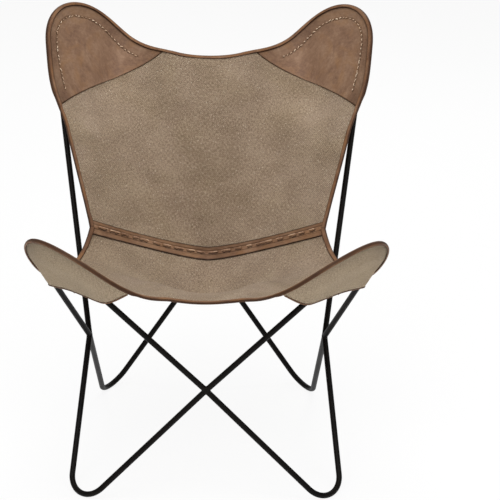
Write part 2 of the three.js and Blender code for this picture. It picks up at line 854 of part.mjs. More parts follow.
addPair("front_ear_hoop", hoopRod(frontEar), ...rodLook);
addPair("rear_ear_hoop", hoopRod(rearEar), ...rodLook);
addPair("front_foot_hoop", footRod(frontFoot), ...rodLook);
addPair("rear_foot_hoop", footRod(rearFoot), ...rodLook);

const crossWeld = (joint, ...corners) =>
  weld(joint, [...corners, ...corners.map(mirrored)], crossWeldSpread);
const sideCorners = [frontEar.corner, rearEar.corner, frontFoot.corner, rearFoot.corner];
add("front_cross_weld", crossWeld(frontCross, frontEar.corner, frontFoot.corner), ...rodLook);
add("rear_cross_weld", crossWeld(rearCross, rearEar.corner, rearFoot.corner), ...rodLook);
addPair("side_weld", weld(sideJoint, sideCorners, weldSwell), ...rodLook);

const canvasLayer = (sheet) => layer(sheet, -canvasThickness / 2, canvasThickness / 2);
add("back_panel", canvasLayer(backSheet), ...canvasLook);
add("seat_panel", canvasLayer(seatSheet), ...canvasLook);
add("back_edge_binding", binding(backSheet), ...bindingLook);
add("seat_edge_binding", binding(seatSheet), ...bindingLook);
add("waist_band", waistBand(), ...leatherLook);
add("waist_band_thread", bandThread(), ...threadLook);

addPair("top_corner_patch", cornerPatch(backSheet, patchMouthShares), ...leatherLook);
addPair("top_corner_thread", cornerThread(backSheet, patchMouthShares), ...threadLook);
addPair("rear_pocket", pocket(backSheet, backPocketMouthShares), ...pocketLook);
addPair("rear_pocket_piping", pocketPiping(backSheet, backPocketMouthShares), ...bindingLook);
addPair("front_pocket", pocket(seatSheet, seatPocketMouthShares), ...pocketLook);
addPair("front_pocket_piping", pocketPiping(seatSheet, seatPocketMouthShares), ...bindingLook);

// The chair stands centred over the origin.
const extent = new THREE.Box3().setFromObject(chair);
chair.position.y = -(extent.min.y + extent.max.y) / 2;

export default chair;
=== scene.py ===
import math

import bpy
import numpy as np
from mathutils import Matrix, Vector


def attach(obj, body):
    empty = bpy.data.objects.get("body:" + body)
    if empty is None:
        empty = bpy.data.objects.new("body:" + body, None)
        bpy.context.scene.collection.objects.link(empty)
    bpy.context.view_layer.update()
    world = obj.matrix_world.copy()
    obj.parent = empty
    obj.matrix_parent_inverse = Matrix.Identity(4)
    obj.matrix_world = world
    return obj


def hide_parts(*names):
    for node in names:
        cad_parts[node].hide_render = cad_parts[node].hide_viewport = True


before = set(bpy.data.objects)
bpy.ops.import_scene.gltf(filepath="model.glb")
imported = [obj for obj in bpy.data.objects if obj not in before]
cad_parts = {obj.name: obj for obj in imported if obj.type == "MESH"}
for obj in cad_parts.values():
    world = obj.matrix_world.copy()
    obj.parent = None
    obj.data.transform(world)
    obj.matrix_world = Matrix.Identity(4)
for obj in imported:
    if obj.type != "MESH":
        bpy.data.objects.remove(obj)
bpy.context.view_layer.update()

# Camera
# A long lens nearly five metres in front of the chair, a little above its top and turned down
# at the seat, so that the whole front, the seat and all four feet show.
camera_place = (0.0364, -4.8092, 2.2843)
camera_pitch = math.radians(21.03)
camera_yaw = math.radians(0.64)
camera_roll = math.radians(0.62)
sensor_width = 36
picture_width = 500
focal_pixels = 2420.95

ahead = Vector((
    math.sin(camera_yaw) * math.cos(camera_pitch),
    math.cos(camera_yaw) * math.cos(camera_pitch),
    -math.sin(camera_pitch),
))
level = Vector((math.cos(camera_yaw), -math.sin(camera_yaw), 0))
upright = level.cross(ahead)
image_right = level * math.cos(camera_roll) + upright * math.sin(camera_roll)
image_up = upright * math.cos(camera_roll) - level * math.sin(camera_roll)
camera_data = bpy.data.cameras.new("camera")
camera_data.sensor_width = sensor_width
camera_data.lens = focal_pixels * sensor_width / picture_width
camera = bpy.data.objects.new("camera", camera_data)
camera.matrix_world = Matrix.Translation(camera_place) @ Matrix(
    (image_right, image_up, -ahead)
).transposed().to_4x4()
bpy.context.collection.objects.link(camera)
bpy.context.scene.camera = camera
bpy.context.scene.view_settings.view_transform = "Standard"


# Rod frame
# Eight bent lengths of round steel rod, each a hoop with two straight legs, powder coated in a
# satin brown black. Two pairs form the ears that carry the sling, and two pairs stand on the floor.
centring = -0.03870
rod_radius = 0.006
rod_sides = 32
bend_steps = 28
front_cross = np.array([0, -0.257 + centring, 0.241])
rear_cross = np.array([0, 0.338 + centring, 0.307])
side_joint = np.array([-0.251, -0.008 + centring, 0.257])
front_ear_corner = np.array([-0.395, -0.312 + centring, 0.650])
rear_ear_corner = np.array([-0.363, 0.391 + centring, 1.002])
front_foot_corner = np.array([-0.288, -0.281 + centring, 0])
rear_foot_corner = np.array([-0.237, 0.311 + centring, 0])
front_ear_bend = 0.070
rear_ear_bend = 0.058
foot_bend = 0.050
foot_flat_depth = 0.0004
foot_sinking_rounds = 20
weld_reach = 0.015
ring_slack = 0.0006
ring_reach = 0.012
rod_smooth_angle = math.radians(35)


def unit(vectors):
    vectors = np.asarray(vectors, float)
    return vectors / np.linalg.norm(vectors, axis=-1, keepdims=True)


def hoop(corner, centre_joint, bend):
    inner = unit(centre_joint - corner)
    outer = unit(side_joint - corner)
    inward = unit(inner + outer)
    half_angle = math.acos(inner @ outer) / 2
    normal = unit(np.cross(inner, outer))
    return {
        "corner": corner,
        "centre_joint": centre_joint,
        "bend": bend,
        "inward": inward,
        "along": unit(inner - outer),
        "normal": normal if normal[0] > 0 else -normal,
        "half_angle": half_angle,
        "middle": corner + inward * bend / math.sin(half_angle),
    }


# A foot's unrounded corner is sunk until the lowest point of its bend is where the flat needs it.
def foot_hoop(corner, centre_joint):
    corner = corner.copy()
    for _ in range(foot_sinking_rounds):
        made = hoop(corner, centre_joint, foot_bend)
        reach = math.hypot(made["inward"][2], made["along"][2])
        lowest = made["middle"][2] - foot_bend * reach
        corner[2] -= lowest - (rod_radius - foot_flat_depth)
    return made


front_ear = hoop(front_ear_corner, front_cross, front_ear_bend)
rear_ear = hoop(rear_ear_corner, rear_cross, rear_ear_bend)
front_foot = foot_hoop(front_foot_corner, front_cross)
rear_foot = foot_hoop(rear_foot_corner, rear_cross)


def linear(hex_colour):
    channels = [int(hex_colour[i:i + 2], 16) / 255 for i in (0, 2, 4)]
    return [c / 12.92 if c < 0.04045 else ((c + 0.055) / 1.055) ** 2.4 for c in channels] + [1]


# Adds a node with its properties, its values by socket, and the sockets that feed it.
def add_node(material, kind, values=None, feeds=None, stops=(), **properties):
    tree = material.node_tree
    node = tree.nodes.new("ShaderNode" + kind)
    for name, value in properties.items():
        setattr(node, name, value)
    for socket, value in (values or {}).items():
        node.inputs[socket].default_value = value
    for socket, source in (feeds or {}).items():
        tree.links.new(source, node.inputs[socket])
    for i, (position, shade) in enumerate(stops):
        elements = node.color_ramp.elements
        element = elements[i] if i < 2 else elements.new(position)
        element.position = position
        element.color = shade
    return node


def new_material(name):
    material = bpy.data.materials.new(name)
    material.use_nodes = True
    material.node_tree.nodes.clear()
    return material


colour_a, colour_b, mixed_colour = 6, 7, 2

# Powder coat: a baked polymer skin, so no metal shows; faintly pebbled, with soft wide highlights.
pebble_size = 0.0011
pebble_depth = 0.00008
dust_size = 0.045
rod_coat = new_material("satin powder coat")
place = add_node(rod_coat, "TexCoord")
pebbles = add_node(rod_coat, "TexNoise", {"Scale": 1 / pebble_size, "Detail": 2.0},
                   {"Vector": place.outputs["Object"]})
dust = add_node(rod_coat, "TexNoise", {"Scale": 1 / dust_size, "Detail": 5.0, "Roughness": 0.7},
                {"Vector": place.outputs["Object"]})
dusting = add_node(rod_coat, "ValToRGB", {}, {"Fac": dust.outputs["Fac"]},
                   [(0.35, linear("0a0807")), (0.75, linear("171310"))])
coat_gloss = add_node(rod_coat, "MapRange", {"To Min": 0.34, "To Max": 0.52},
                      {"Value": dust.outputs["Fac"]})
pebble_bump = add_node(rod_coat, "Bump", {"Strength": 0.25, "Distance": pebble_depth},
                       {"Height": pebbles.outputs["Fac"]})
coat_shader = add_node(rod_coat, "BsdfPrincipled", {"IOR": 1.5, "Specular IOR Level": 0.10},
                       {"Base Color": dusting.outputs["Color"], "Roughness": coat_gloss.outputs[0],
                        "Normal": pebble_bump.outputs["Normal"]})
add_node(rod_coat, "OutputMaterial", {}, {"Surface": coat_shader.outputs["BSDF"]})


def deselect():
    for piece in bpy.context.selected_objects:
        piece.select_set(False)


def finish_piece(piece, name, material, nodes):
    piece.name = name
    piece.data.name = name
    piece.data.materials.clear()
    piece.data.materials.append(material)
    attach(piece, "root")
    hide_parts(*nodes)


def select_ring(rod, place, heading):
    bpy.ops.mesh.select_mode(type="VERT")
    bpy.ops.mesh.select_all(action="DESELECT")
    bpy.ops.object.mode_set(mode="OBJECT")
    for vertex in rod.data.vertices:
        offset = vertex.co - place
        vertex.select = abs(offset.dot(heading)) < ring_slack and offset.length < ring_reach
    bpy.ops.object.mode_set(mode="EDIT")


# A leg is drawn out of a ring of points, the ring is spun round the bend, and drawn out again.
def bent_rod(frame_hoop, side):
    flip = np.array([side, 1, 1])
    sweep = math.pi - 2 * frame_hoop["half_angle"]
    outer_heading = unit(frame_hoop["corner"] - side_joint)
    inner_heading = unit(frame_hoop["centre_joint"] - frame_hoop["corner"])
    square = frame_hoop["bend"] / math.tan(frame_hoop["half_angle"])
    bend_start = frame_hoop["corner"] - outer_heading * square
    bend_end = frame_hoop["corner"] + inner_heading * square
    start = Vector((side_joint + outer_heading * weld_reach / 2) * flip)
    end = Vector((frame_hoop["centre_joint"] - inner_heading * weld_reach / 2) * flip)
    bend_start, bend_end = Vector(bend_start * flip), Vector(bend_end * flip)
    heading = (bend_start - start).normalized()
    axis = heading.cross(end - bend_end).normalized()
    deselect()
    bpy.ops.mesh.primitive_circle_add(
        vertices=rod_sides, radius=rod_radius, location=start,
        rotation=heading.to_track_quat("Z", "Y").to_euler())
    rod = bpy.context.object
    bpy.ops.object.transform_apply()
    bpy.ops.object.mode_set(mode="EDIT")
    bpy.ops.mesh.select_all(action="SELECT")
    bpy.ops.mesh.extrude_region_move(TRANSFORM_OT_translate={"value": bend_start - start})
    bpy.ops.mesh.spin(steps=bend_steps, angle=-sweep, axis=axis,
                      center=Vector(frame_hoop["middle"] * flip))
    bpy.ops.mesh.extrude_region_move(TRANSFORM_OT_translate={"value": end - bend_end})
    for place, direction in ((start, heading), (end, (end - bend_end).normalized())):
        select_ring(rod, place, direction)
        bpy.ops.mesh.edge_face_add()
    bpy.ops.mesh.select_all(action="SELECT")
    bpy.ops.mesh.normals_make_consistent(inside=False)
    bpy.ops.object.mode_set(mode="OBJECT")
    return rod


# Each foot bend is ground flat where it stands on the floor.
def grind_flat(rod):
    bpy.ops.object.mode_set(mode="EDIT")
    bpy.ops.mesh.select_all(action="SELECT")
    bpy.ops.mesh.bisect(plane_co=(0, 0, 0), plane_no=(0, 0, 1), use_fill=True, clear_inner=True)
    bpy.ops.object.mode_set(mode="OBJECT")


sides = {"left": 1, "right": -1}
for side_name, side in sides.items():
    for node, frame_hoop in (("front_ear_hoop", front_ear), ("rear_ear_hoop", rear_ear),
                             ("front_foot_hoop", front_foot), ("rear_foot_hoop", rear_foot)):
        rod = bent_rod(frame_hoop, side)
        if "foot" in node:
            grind_flat(rod)
        bpy.ops.object.shade_smooth_by_angle(angle=rod_smooth_angle)
        finish_piece(rod, side_name + "_" + node + "_rod", rod_coat,
                     [side_name + "_" + node])


# Welded joints
# Where four rods meet they are welded and the bead is ground and coated with them, so that the
# crossings have small soft fillets in their corners. The side joints are hardly thicker than a rod.
weld_swell = 0.0005
weld_taper = 0.0005
cross_spread = 0.0036
weld_fineness = 0.0006
core_splits = 4
grind_share = 0.6
grind_rounds = 8


def weld(joint, corners, spread):
    headings = [Vector(unit(corner - joint)) for corner in corners]
    normal = headings[0].cross(headings[1]).normalized()
    deselect()
    bpy.ops.mesh.primitive_ico_sphere_add(subdivisions=core_splits, radius=1)
    core = bpy.context.object
    core.scale = (rod_radius + spread, rod_radius + spread, rod_radius + weld_swell)
    core.rotation_euler = normal.to_track_quat("Z", "Y").to_euler()
    core.location = joint
    stubs = [core]
    for heading in headings:
        bpy.ops.mesh.primitive_cone_add(
            vertices=rod_sides, radius1=rod_radius + weld_swell, radius2=rod_radius - weld_taper,
            depth=weld_reach, location=Vector(joint) + heading * weld_reach / 2,
            rotation=heading.to_track_quat("Z", "Y").to_euler())
        stubs.append(bpy.context.object)
    deselect()
    for stub in stubs:
        stub.select_set(True)
    bpy.context.view_layer.objects.active = core
    bpy.ops.object.join()
    bpy.ops.object.transform_apply()
    remesh = core.modifiers.new("fused", "REMESH")
    remesh.mode = "VOXEL"
    remesh.voxel_size = weld_fineness
    bpy.ops.object.modifier_apply(modifier=remesh.name)
    smooth = core.modifiers.new("ground", "SMOOTH")
    smooth.factor = grind_share
    smooth.iterations = grind_rounds
    bpy.ops.object.modifier_apply(modifier=smooth.name)
    bpy.ops.object.shade_smooth()
    return core


def mirrored(point):
    return point * np.array([-1, 1, 1])


for node, joint, ear, foot in (("front_cross_weld", front_cross, front_ear, front_foot),
                               ("rear_cross_weld", rear_cross, rear_ear, rear_foot)):
    meeting = [ear["corner"], foot["corner"]]
    bead = weld(joint, meeting + [mirrored(corner) for corner in meeting], cross_spread)
    finish_piece(bead, node + "_bead", rod_coat, [node])
side_meeting = [made["corner"] for made in (front_ear, rear_ear, front_foot, rear_foot)]
for side_name, side in sides.items():
    flip = np.array([side, 1, 1])
    bead = weld(side_joint * flip, [corner * flip for corner in side_meeting], weld_swell)
    finish_piece(bead, side_name + "_side_weld_bead", rod_coat,
                 [side_name + "_side_weld"])


# Canvas panels
# The back and the seat are two shaped pieces of heavy washed cotton canvas, sewn together along
# a shallow vee at the waist. Each hangs from a pair of ears and lies flat where the hoop carries it.
canvas_thickness = 0.0024
rod_gap = 0.0003
ear_lift = rod_radius + rod_gap + canvas_thickness / 2
waist_out = 0.248
waist_back = 0.035 + centring
waist_height = 0.487
waist_middle_back = 0.140 + centring
waist_middle_height = 0.385
waist_vee = 1.35
flat_reach = 0.100
flat_fade = 0.120
shoulder_rise = 0.060
middle_rise = 0.030
unevenness = 0.0011
uneven_wave = 0.085
back_folds = [
    {"start_shares": (0.28, 0.93), "end_shares": (0.80, 0.66), "width": 0.026, "rise": 0.0032},
    {"start_shares": (-0.86, 0.70), "end_shares": (-0.40, 0.86), "width": 0.030, "rise": 0.0024},
    {"start_shares": (-0.50, 0.40), "end_shares": (-0.02, 0.17), "width": 0.020, "rise": 0.0022},
    {"start_shares": (0.30, 0.12), "end_shares": (0.72, 0.30), "width": 0.034, "rise": 0.0022},
]
seat_folds = [
    {"start_shares": (-0.12, 0.20), "end_shares": (0.42, 0.17), "width": 0.016, "rise": 0.0034},
    {"start_shares": (0.00, 0.36), "end_shares": (0.34, 0.33), "width": 0.022, "rise": -0.0026},
    {"start_shares": (-0.34, 0.52), "end_shares": (-0.30, 0.84), "width": 0.007, "rise": 0.0013},
]
fold_end_share = 0.35
swell_waves = 9
wave_length_shares = 0.6, 1.8
core_shares = -0.45, 0.5
waist_fade_share = 0.12
side_fade_share = 0.1
edge_samples = 160
inset_rounds = 18
normal_step = 0.004
normal_margin = 0.05
shortest_run = 1e-12
cloth_smooth_angle = math.radians(40)


def cubic(first, second, third, fourth, share):
    share = np.asarray(share, float)[..., None]
    rest = 1 - share
    return (rest ** 3 * first + 3 * rest ** 2 * share * second
            + 3 * rest * share ** 2 * third + share ** 3 * fourth)


# How far each point of a line lies along it.
def run_along(line):
    return np.concatenate([[0], np.cumsum(np.linalg.norm(np.diff(line, axis=0), axis=1))])


# A free edge of a sheet, from an ear's unrounded corner to its end, by share of its length.
class FreeEdge:
    def __init__(self, corner, heading, handle, end, arrival, end_handle):
        self.points = (corner, corner + heading * handle, end - arrival * end_handle, end)
        self.shares = np.linspace(0, 1, edge_samples + 1)
        self.run = run_along(cubic(*self.points, self.shares))

    def at(self, share):
        along = np.clip(share, 0, 1) * self.run[-1]
        return cubic(*self.points, np.interp(along, self.run, self.shares))


def waist(across):
    across = np.asarray(across, float)
    rise = np.abs(across) ** waist_vee
    return np.stack([
        waist_out * across,
        waist_middle_back + rise * (waist_back - waist_middle_back),
        waist_middle_height + rise * (waist_height - waist_middle_height),
    ], -1)


# Slow swells of cloth that has hung and been washed, as a sum of waves in set directions.
def swells(first, second, wave, seed):
    draw = np.random.RandomState(seed)
    total = np.zeros_like(first)
    for _ in range(swell_waves):
        turn = draw.uniform(0, math.pi)
        length = wave * draw.uniform(*wave_length_shares)
        phase = draw.uniform(0, 2 * math.pi)
        run = first * math.cos(turn) + second * math.sin(turn)
        total = total + np.sin(2 * math.pi * run / length + phase)
    return total / math.sqrt(swell_waves)


def smooth_step(value, low, high):
    share = np.clip((value - low) / (high - low), 0, 1)
    return share * share * (3 - 2 * share)


# How high a soft fold stands at each place: its full rise along its line, less towards its ends.
def fold_height(across, up, fold):
    scale = np.array([waist_out, waist_height])
    spot = np.stack([across, up], -1) * scale
    start = np.array(fold["start_shares"]) * scale
    run = np.array(fold["end_shares"]) * scale - start
    share = np.clip((spot - start) @ run / (run @ run), 0, 1)
    away = np.linalg.norm(spot - start - share[..., None] * run, axis=-1)
    taper = fold_end_share + (1 - fold_end_share) * np.sin(math.pi * share)
    return fold["rise"] * taper * np.exp(-(away / fold["width"]) ** 2)


# A swelling's height by share, nothing at 0 and 1 and full at its peak between them.
def bulge(share, power=1):
    peak = power / (power + 1)
    return share ** power * (1 - share) / (peak ** power * (1 - peak))


# A sheet is a smooth patch between the waist, two side edges and a far edge, held flat on its hoops.
# Places on it go across from -1 to 1, and up from the waist at 0 to the far edge at 1.
class Sheet:
    def __init__(self, ear, facing, seed, folds, shoulder, middle, far, side):
        corner = ear["middle"] - ear["inward"] * far["reach"] + ear["normal"] * ear_lift
        self.ear = ear
        self.facing = facing
        self.seed = seed
        self.folds = folds
        self.shoulder = shoulder
        self.middle = middle
        self.far_round = far["round_share"]
        self.side_round = side["round_share"]
        self.far_edge = FreeEdge(corner, self.heading(far["spread"]), far["handle"],
                                 far["middle"], np.array([1.0, 0, 0]), far["end_handle"])
        self.side_edge = FreeEdge(corner, self.heading(-side["spread"]), side["handle"],
                                  waist(-1), unit(side["arrival"]), side["end_handle"])
        self.core = np.array(core_shares)
        shares = np.linspace(0, 1, edge_samples + 1)
        self.rim = self.place(*self.rim_shares(shares))

    def heading(self, degrees):
        turn = math.radians(degrees)
        return self.ear["inward"] * math.cos(turn) + self.ear["along"] * math.sin(turn)

    # A place on the left rim: 0 at the waist, a half at the ear's tip, 1 at the far edge's middle.
    def rim_shares(self, share):
        share = np.asarray(share, float)
        return np.where(share < 0.5, -1, 2 * share - 2), np.where(share < 0.5, 2 * share, 1)

    def rounded(self, across, up):
        outer = 1 - (1 - np.abs(across)) / self.far_round
        upper = 1 - (1 - up) / self.side_round
        inside = (outer > 0) & (upper > 0)
        outer, upper = np.clip(outer, 0, 1), np.clip(upper, 0, 1)
        round_outer = outer * np.sqrt(1 - upper ** 2 / 2)
        round_upper = upper * np.sqrt(1 - outer ** 2 / 2)
        side = np.where(across > 0, 1.0, -1.0)
        return (np.where(inside, side * (1 - (1 - round_outer) * self.far_round), across),
                np.where(inside, 1 - (1 - round_upper) * self.side_round, up))

    def place(self, across, up):
        across, up = np.broadcast_arrays(np.asarray(across, float), np.asarray(up, float))
        across, up = self.rounded(across, up)
        flip = np.where(across[..., None] > 0, [-1.0, 1, 1], [1.0, 1, 1])
        sideways, height = ((across + 1) / 2)[..., None], up[..., None]
        left = self.side_edge.at(1 - up)
        right = mirrored(left)
        far = self.far_edge.at(1 - np.abs(across)) * flip
        tip = self.far_edge.at(0)
        near_ends = waist(-1) * (1 - sideways) + waist(1) * sideways
        far_ends = tip * (1 - sideways) + mirrored(tip) * sideways
        spot = (waist(across) * (1 - height) + far * height + left * (1 - sideways)
                + right * sideways - near_ends * (1 - height) - far_ends * height)
        spot[..., 2] += self.shoulder * bulge(across ** 2) * bulge(up, 2)
        spot[..., 2] += self.middle * (1 - across ** 2) * bulge(up)
        return self.laid(spot * flip, across, up) * flip

    # Near its rods the sheet lies flat against the hoop; away from them it has its slow swells.
    def laid(self, spot, across, up):
        ear = self.ear
        offset = spot - ear["middle"]
        reach = np.linalg.norm(offset, axis=-1)
        hold = 1 - smooth_step(reach, flat_reach, flat_reach + flat_fade)
        height = offset @ ear["normal"]
        spot = spot + (hold * (ear_lift - height))[..., None] * ear["normal"]
        free = (1 - hold) * np.clip(up / waist_fade_share, 0, 1)
        free = free * np.clip((1 - np.abs(across)) / side_fade_share, 0, 1)
        swell = unevenness * swells(across * waist_out, up * waist_height, uneven_wave, self.seed)
        for fold in self.folds:
            swell = swell + fold_height(across, up, fold) * self.facing
        return spot + (free * swell)[..., None] * ear["normal"]

    # The normal points to the sitter's side: up from the seat and forward from the back.
    def normal(self, across, up):
        limit = 1 - normal_margin
        across = np.clip(across, -limit, limit)
        up = np.clip(up, normal_step, limit)
        sideways = self.place(across + normal_step, up) - self.place(across - normal_step, up)
        rising = self.place(across, up + normal_step) - self.place(across, up - normal_step)
        return unit(np.cross(sideways, rising)) * self.facing

    def rim_distance(self, places):
        start, run = self.rim[:-1], np.diff(self.rim, axis=0)
        away = places[..., None, :] - start
        length = np.maximum((run ** 2).sum(-1), shortest_run)
        share = np.clip((away * run).sum(-1) / length, 0, 1)
        return np.linalg.norm(away - share[..., None] * run, axis=-1).min(-1)

    # The place on the left half that lies this far in from a place on its rim.
    def inset(self, across, up, distance):
        rim = np.stack(np.broadcast_arrays(across, up), -1).astype(float)
        low, high = np.zeros(rim.shape[:-1]), np.ones(rim.shape[:-1])
        for _ in range(inset_rounds):
            share = (low + high) / 2
            spot = rim + (self.core - rim) * share[..., None]
            near = self.rim_distance(self.place(spot[..., 0], spot[..., 1])) < distance
            low, high = np.where(near, share, low), np.where(near, high, share)
        spot = rim + (self.core - rim) * low[..., None]
        return spot[..., 0], spot[..., 1]


# Each free edge leaves the ear at its spread, in degrees from the ear's middle line.
back_far = {"reach": 0.185, "spread": 46.5, "round_share": 0.57, "handle": 0.303, "end_handle": 0.125,
            "middle": np.array([0, 0.322 + centring, 0.778])}
back_side = {"spread": 41.2, "round_share": 0.3, "handle": 0.165, "end_handle": 0.109,
             "arrival": [0.19, -0.64, -0.75]}
seat_far = {"reach": 0.150, "spread": 65, "round_share": 0.51, "handle": 0.288, "end_handle": 0.110,
            "middle": np.array([0, -0.247 + centring, 0.430])}
seat_side = {"spread": 55.4, "round_share": 0.44, "handle": 0.254, "end_handle": 0.203,
             "arrival": [0.23, 0.85, 0.86]}
back = Sheet(rear_ear, facing=1, seed=3, folds=back_folds, shoulder=0, middle=0,
             far=back_far, side=back_side)
seat = Sheet(front_ear, facing=-1, seed=8, folds=seat_folds, shoulder=shoulder_rise,
             middle=middle_rise, far=seat_far, side=seat_side)


# How far each point of a grid lies along the cloth from its middle column and its first row.
def cut_place(places):
    along = np.linalg.norm(np.diff(places, axis=1), axis=-1)
    along = np.concatenate([np.zeros((len(places), 1)), np.cumsum(along, 1)], 1)
    along -= along[:, along.shape[1] // 2][:, None]
    rising = np.linalg.norm(np.diff(places, axis=0), axis=-1)
    rising = np.concatenate([np.zeros((1, places.shape[1])), np.cumsum(rising, 0)], 0)
    return np.stack([along, rising], -1)


# The cloth under a grid as it was cut: its longest row and column, and its area.
def flat_cut(places):
    rows = np.linalg.norm(np.diff(places, axis=1), axis=-1).sum(1)
    columns = np.linalg.norm(np.diff(places, axis=0), axis=-1).sum(0)
    diagonals = places[1:, 1:] - places[:-1, :-1], places[1:, :-1] - places[:-1, 1:]
    area = np.linalg.norm(np.cross(*diagonals), axis=-1).sum() / 2
    return {"flat": (rows.max(), columns.max()), "area": area}


# A closed mesh turned outwards, with its cut places as a UV map and, for the material, named
# values at each point.
def closed_piece(name, points, faces, cut, shades):
    quads = np.array([face for face in faces if len(face) == 4])
    first, second, third, fourth = (points[quads[:, i]] - points.mean(0) for i in range(4))
    turned_out = (first * (np.cross(second, third) + np.cross(third, fourth))).sum() > 0
    mesh = bpy.data.meshes.new(name)
    mesh.from_pydata(points.tolist(), [], faces if turned_out else [face[::-1] for face in faces])
    loops = np.empty(len(mesh.loops), int)
    mesh.loops.foreach_get("vertex_index", loops)
    mesh.uv_layers.new(name="cut").data.foreach_set("uv", cut[loops].ravel())
    for shade, values in shades.items():
        mesh.attributes.new(shade, "FLOAT", "POINT").data.foreach_set("value", values)
    piece = bpy.data.objects.new(name, mesh)
    bpy.context.collection.objects.link(piece)
    deselect()
    piece.select_set(True)
    bpy.context.view_layer.objects.active = piece
    bpy.ops.object.shade_smooth_by_angle(angle=cloth_smooth_angle)
    return piece


# A slab of cloth or leather round a grid of places.
def slab(name, places, normals, thickness, shades):
    rows, columns = places.shape[:2]
    half = normals * np.asarray(thickness)[..., None] / 2
    points = np.concatenate([(places + half).reshape(-1, 3), (places - half).reshape(-1, 3)])
    index = np.arange(rows * columns).reshape(rows, columns)
    top = np.stack([index[:-1, :-1], index[:-1, 1:], index[1:, 1:], index[1:, :-1]], -1)
    top = top.reshape(-1, 4)
    ring = np.concatenate([index[0, :-1], index[:-1, -1], index[-1, :0:-1], index[:0:-1, 0]])
    after = np.roll(ring, -1)
    under = rows * columns
    wall = np.stack([ring, ring + under, after + under, after], -1)
    faces = np.concatenate([top, top[:, ::-1] + under, wall])
    shades = {shade: np.concatenate([values.ravel()] * 2) for shade, values in shades.items()}
    cut = np.concatenate([cut_place(places).reshape(-1, 2)] * 2)
    return closed_piece(name, points, faces.tolist(), cut, shades)


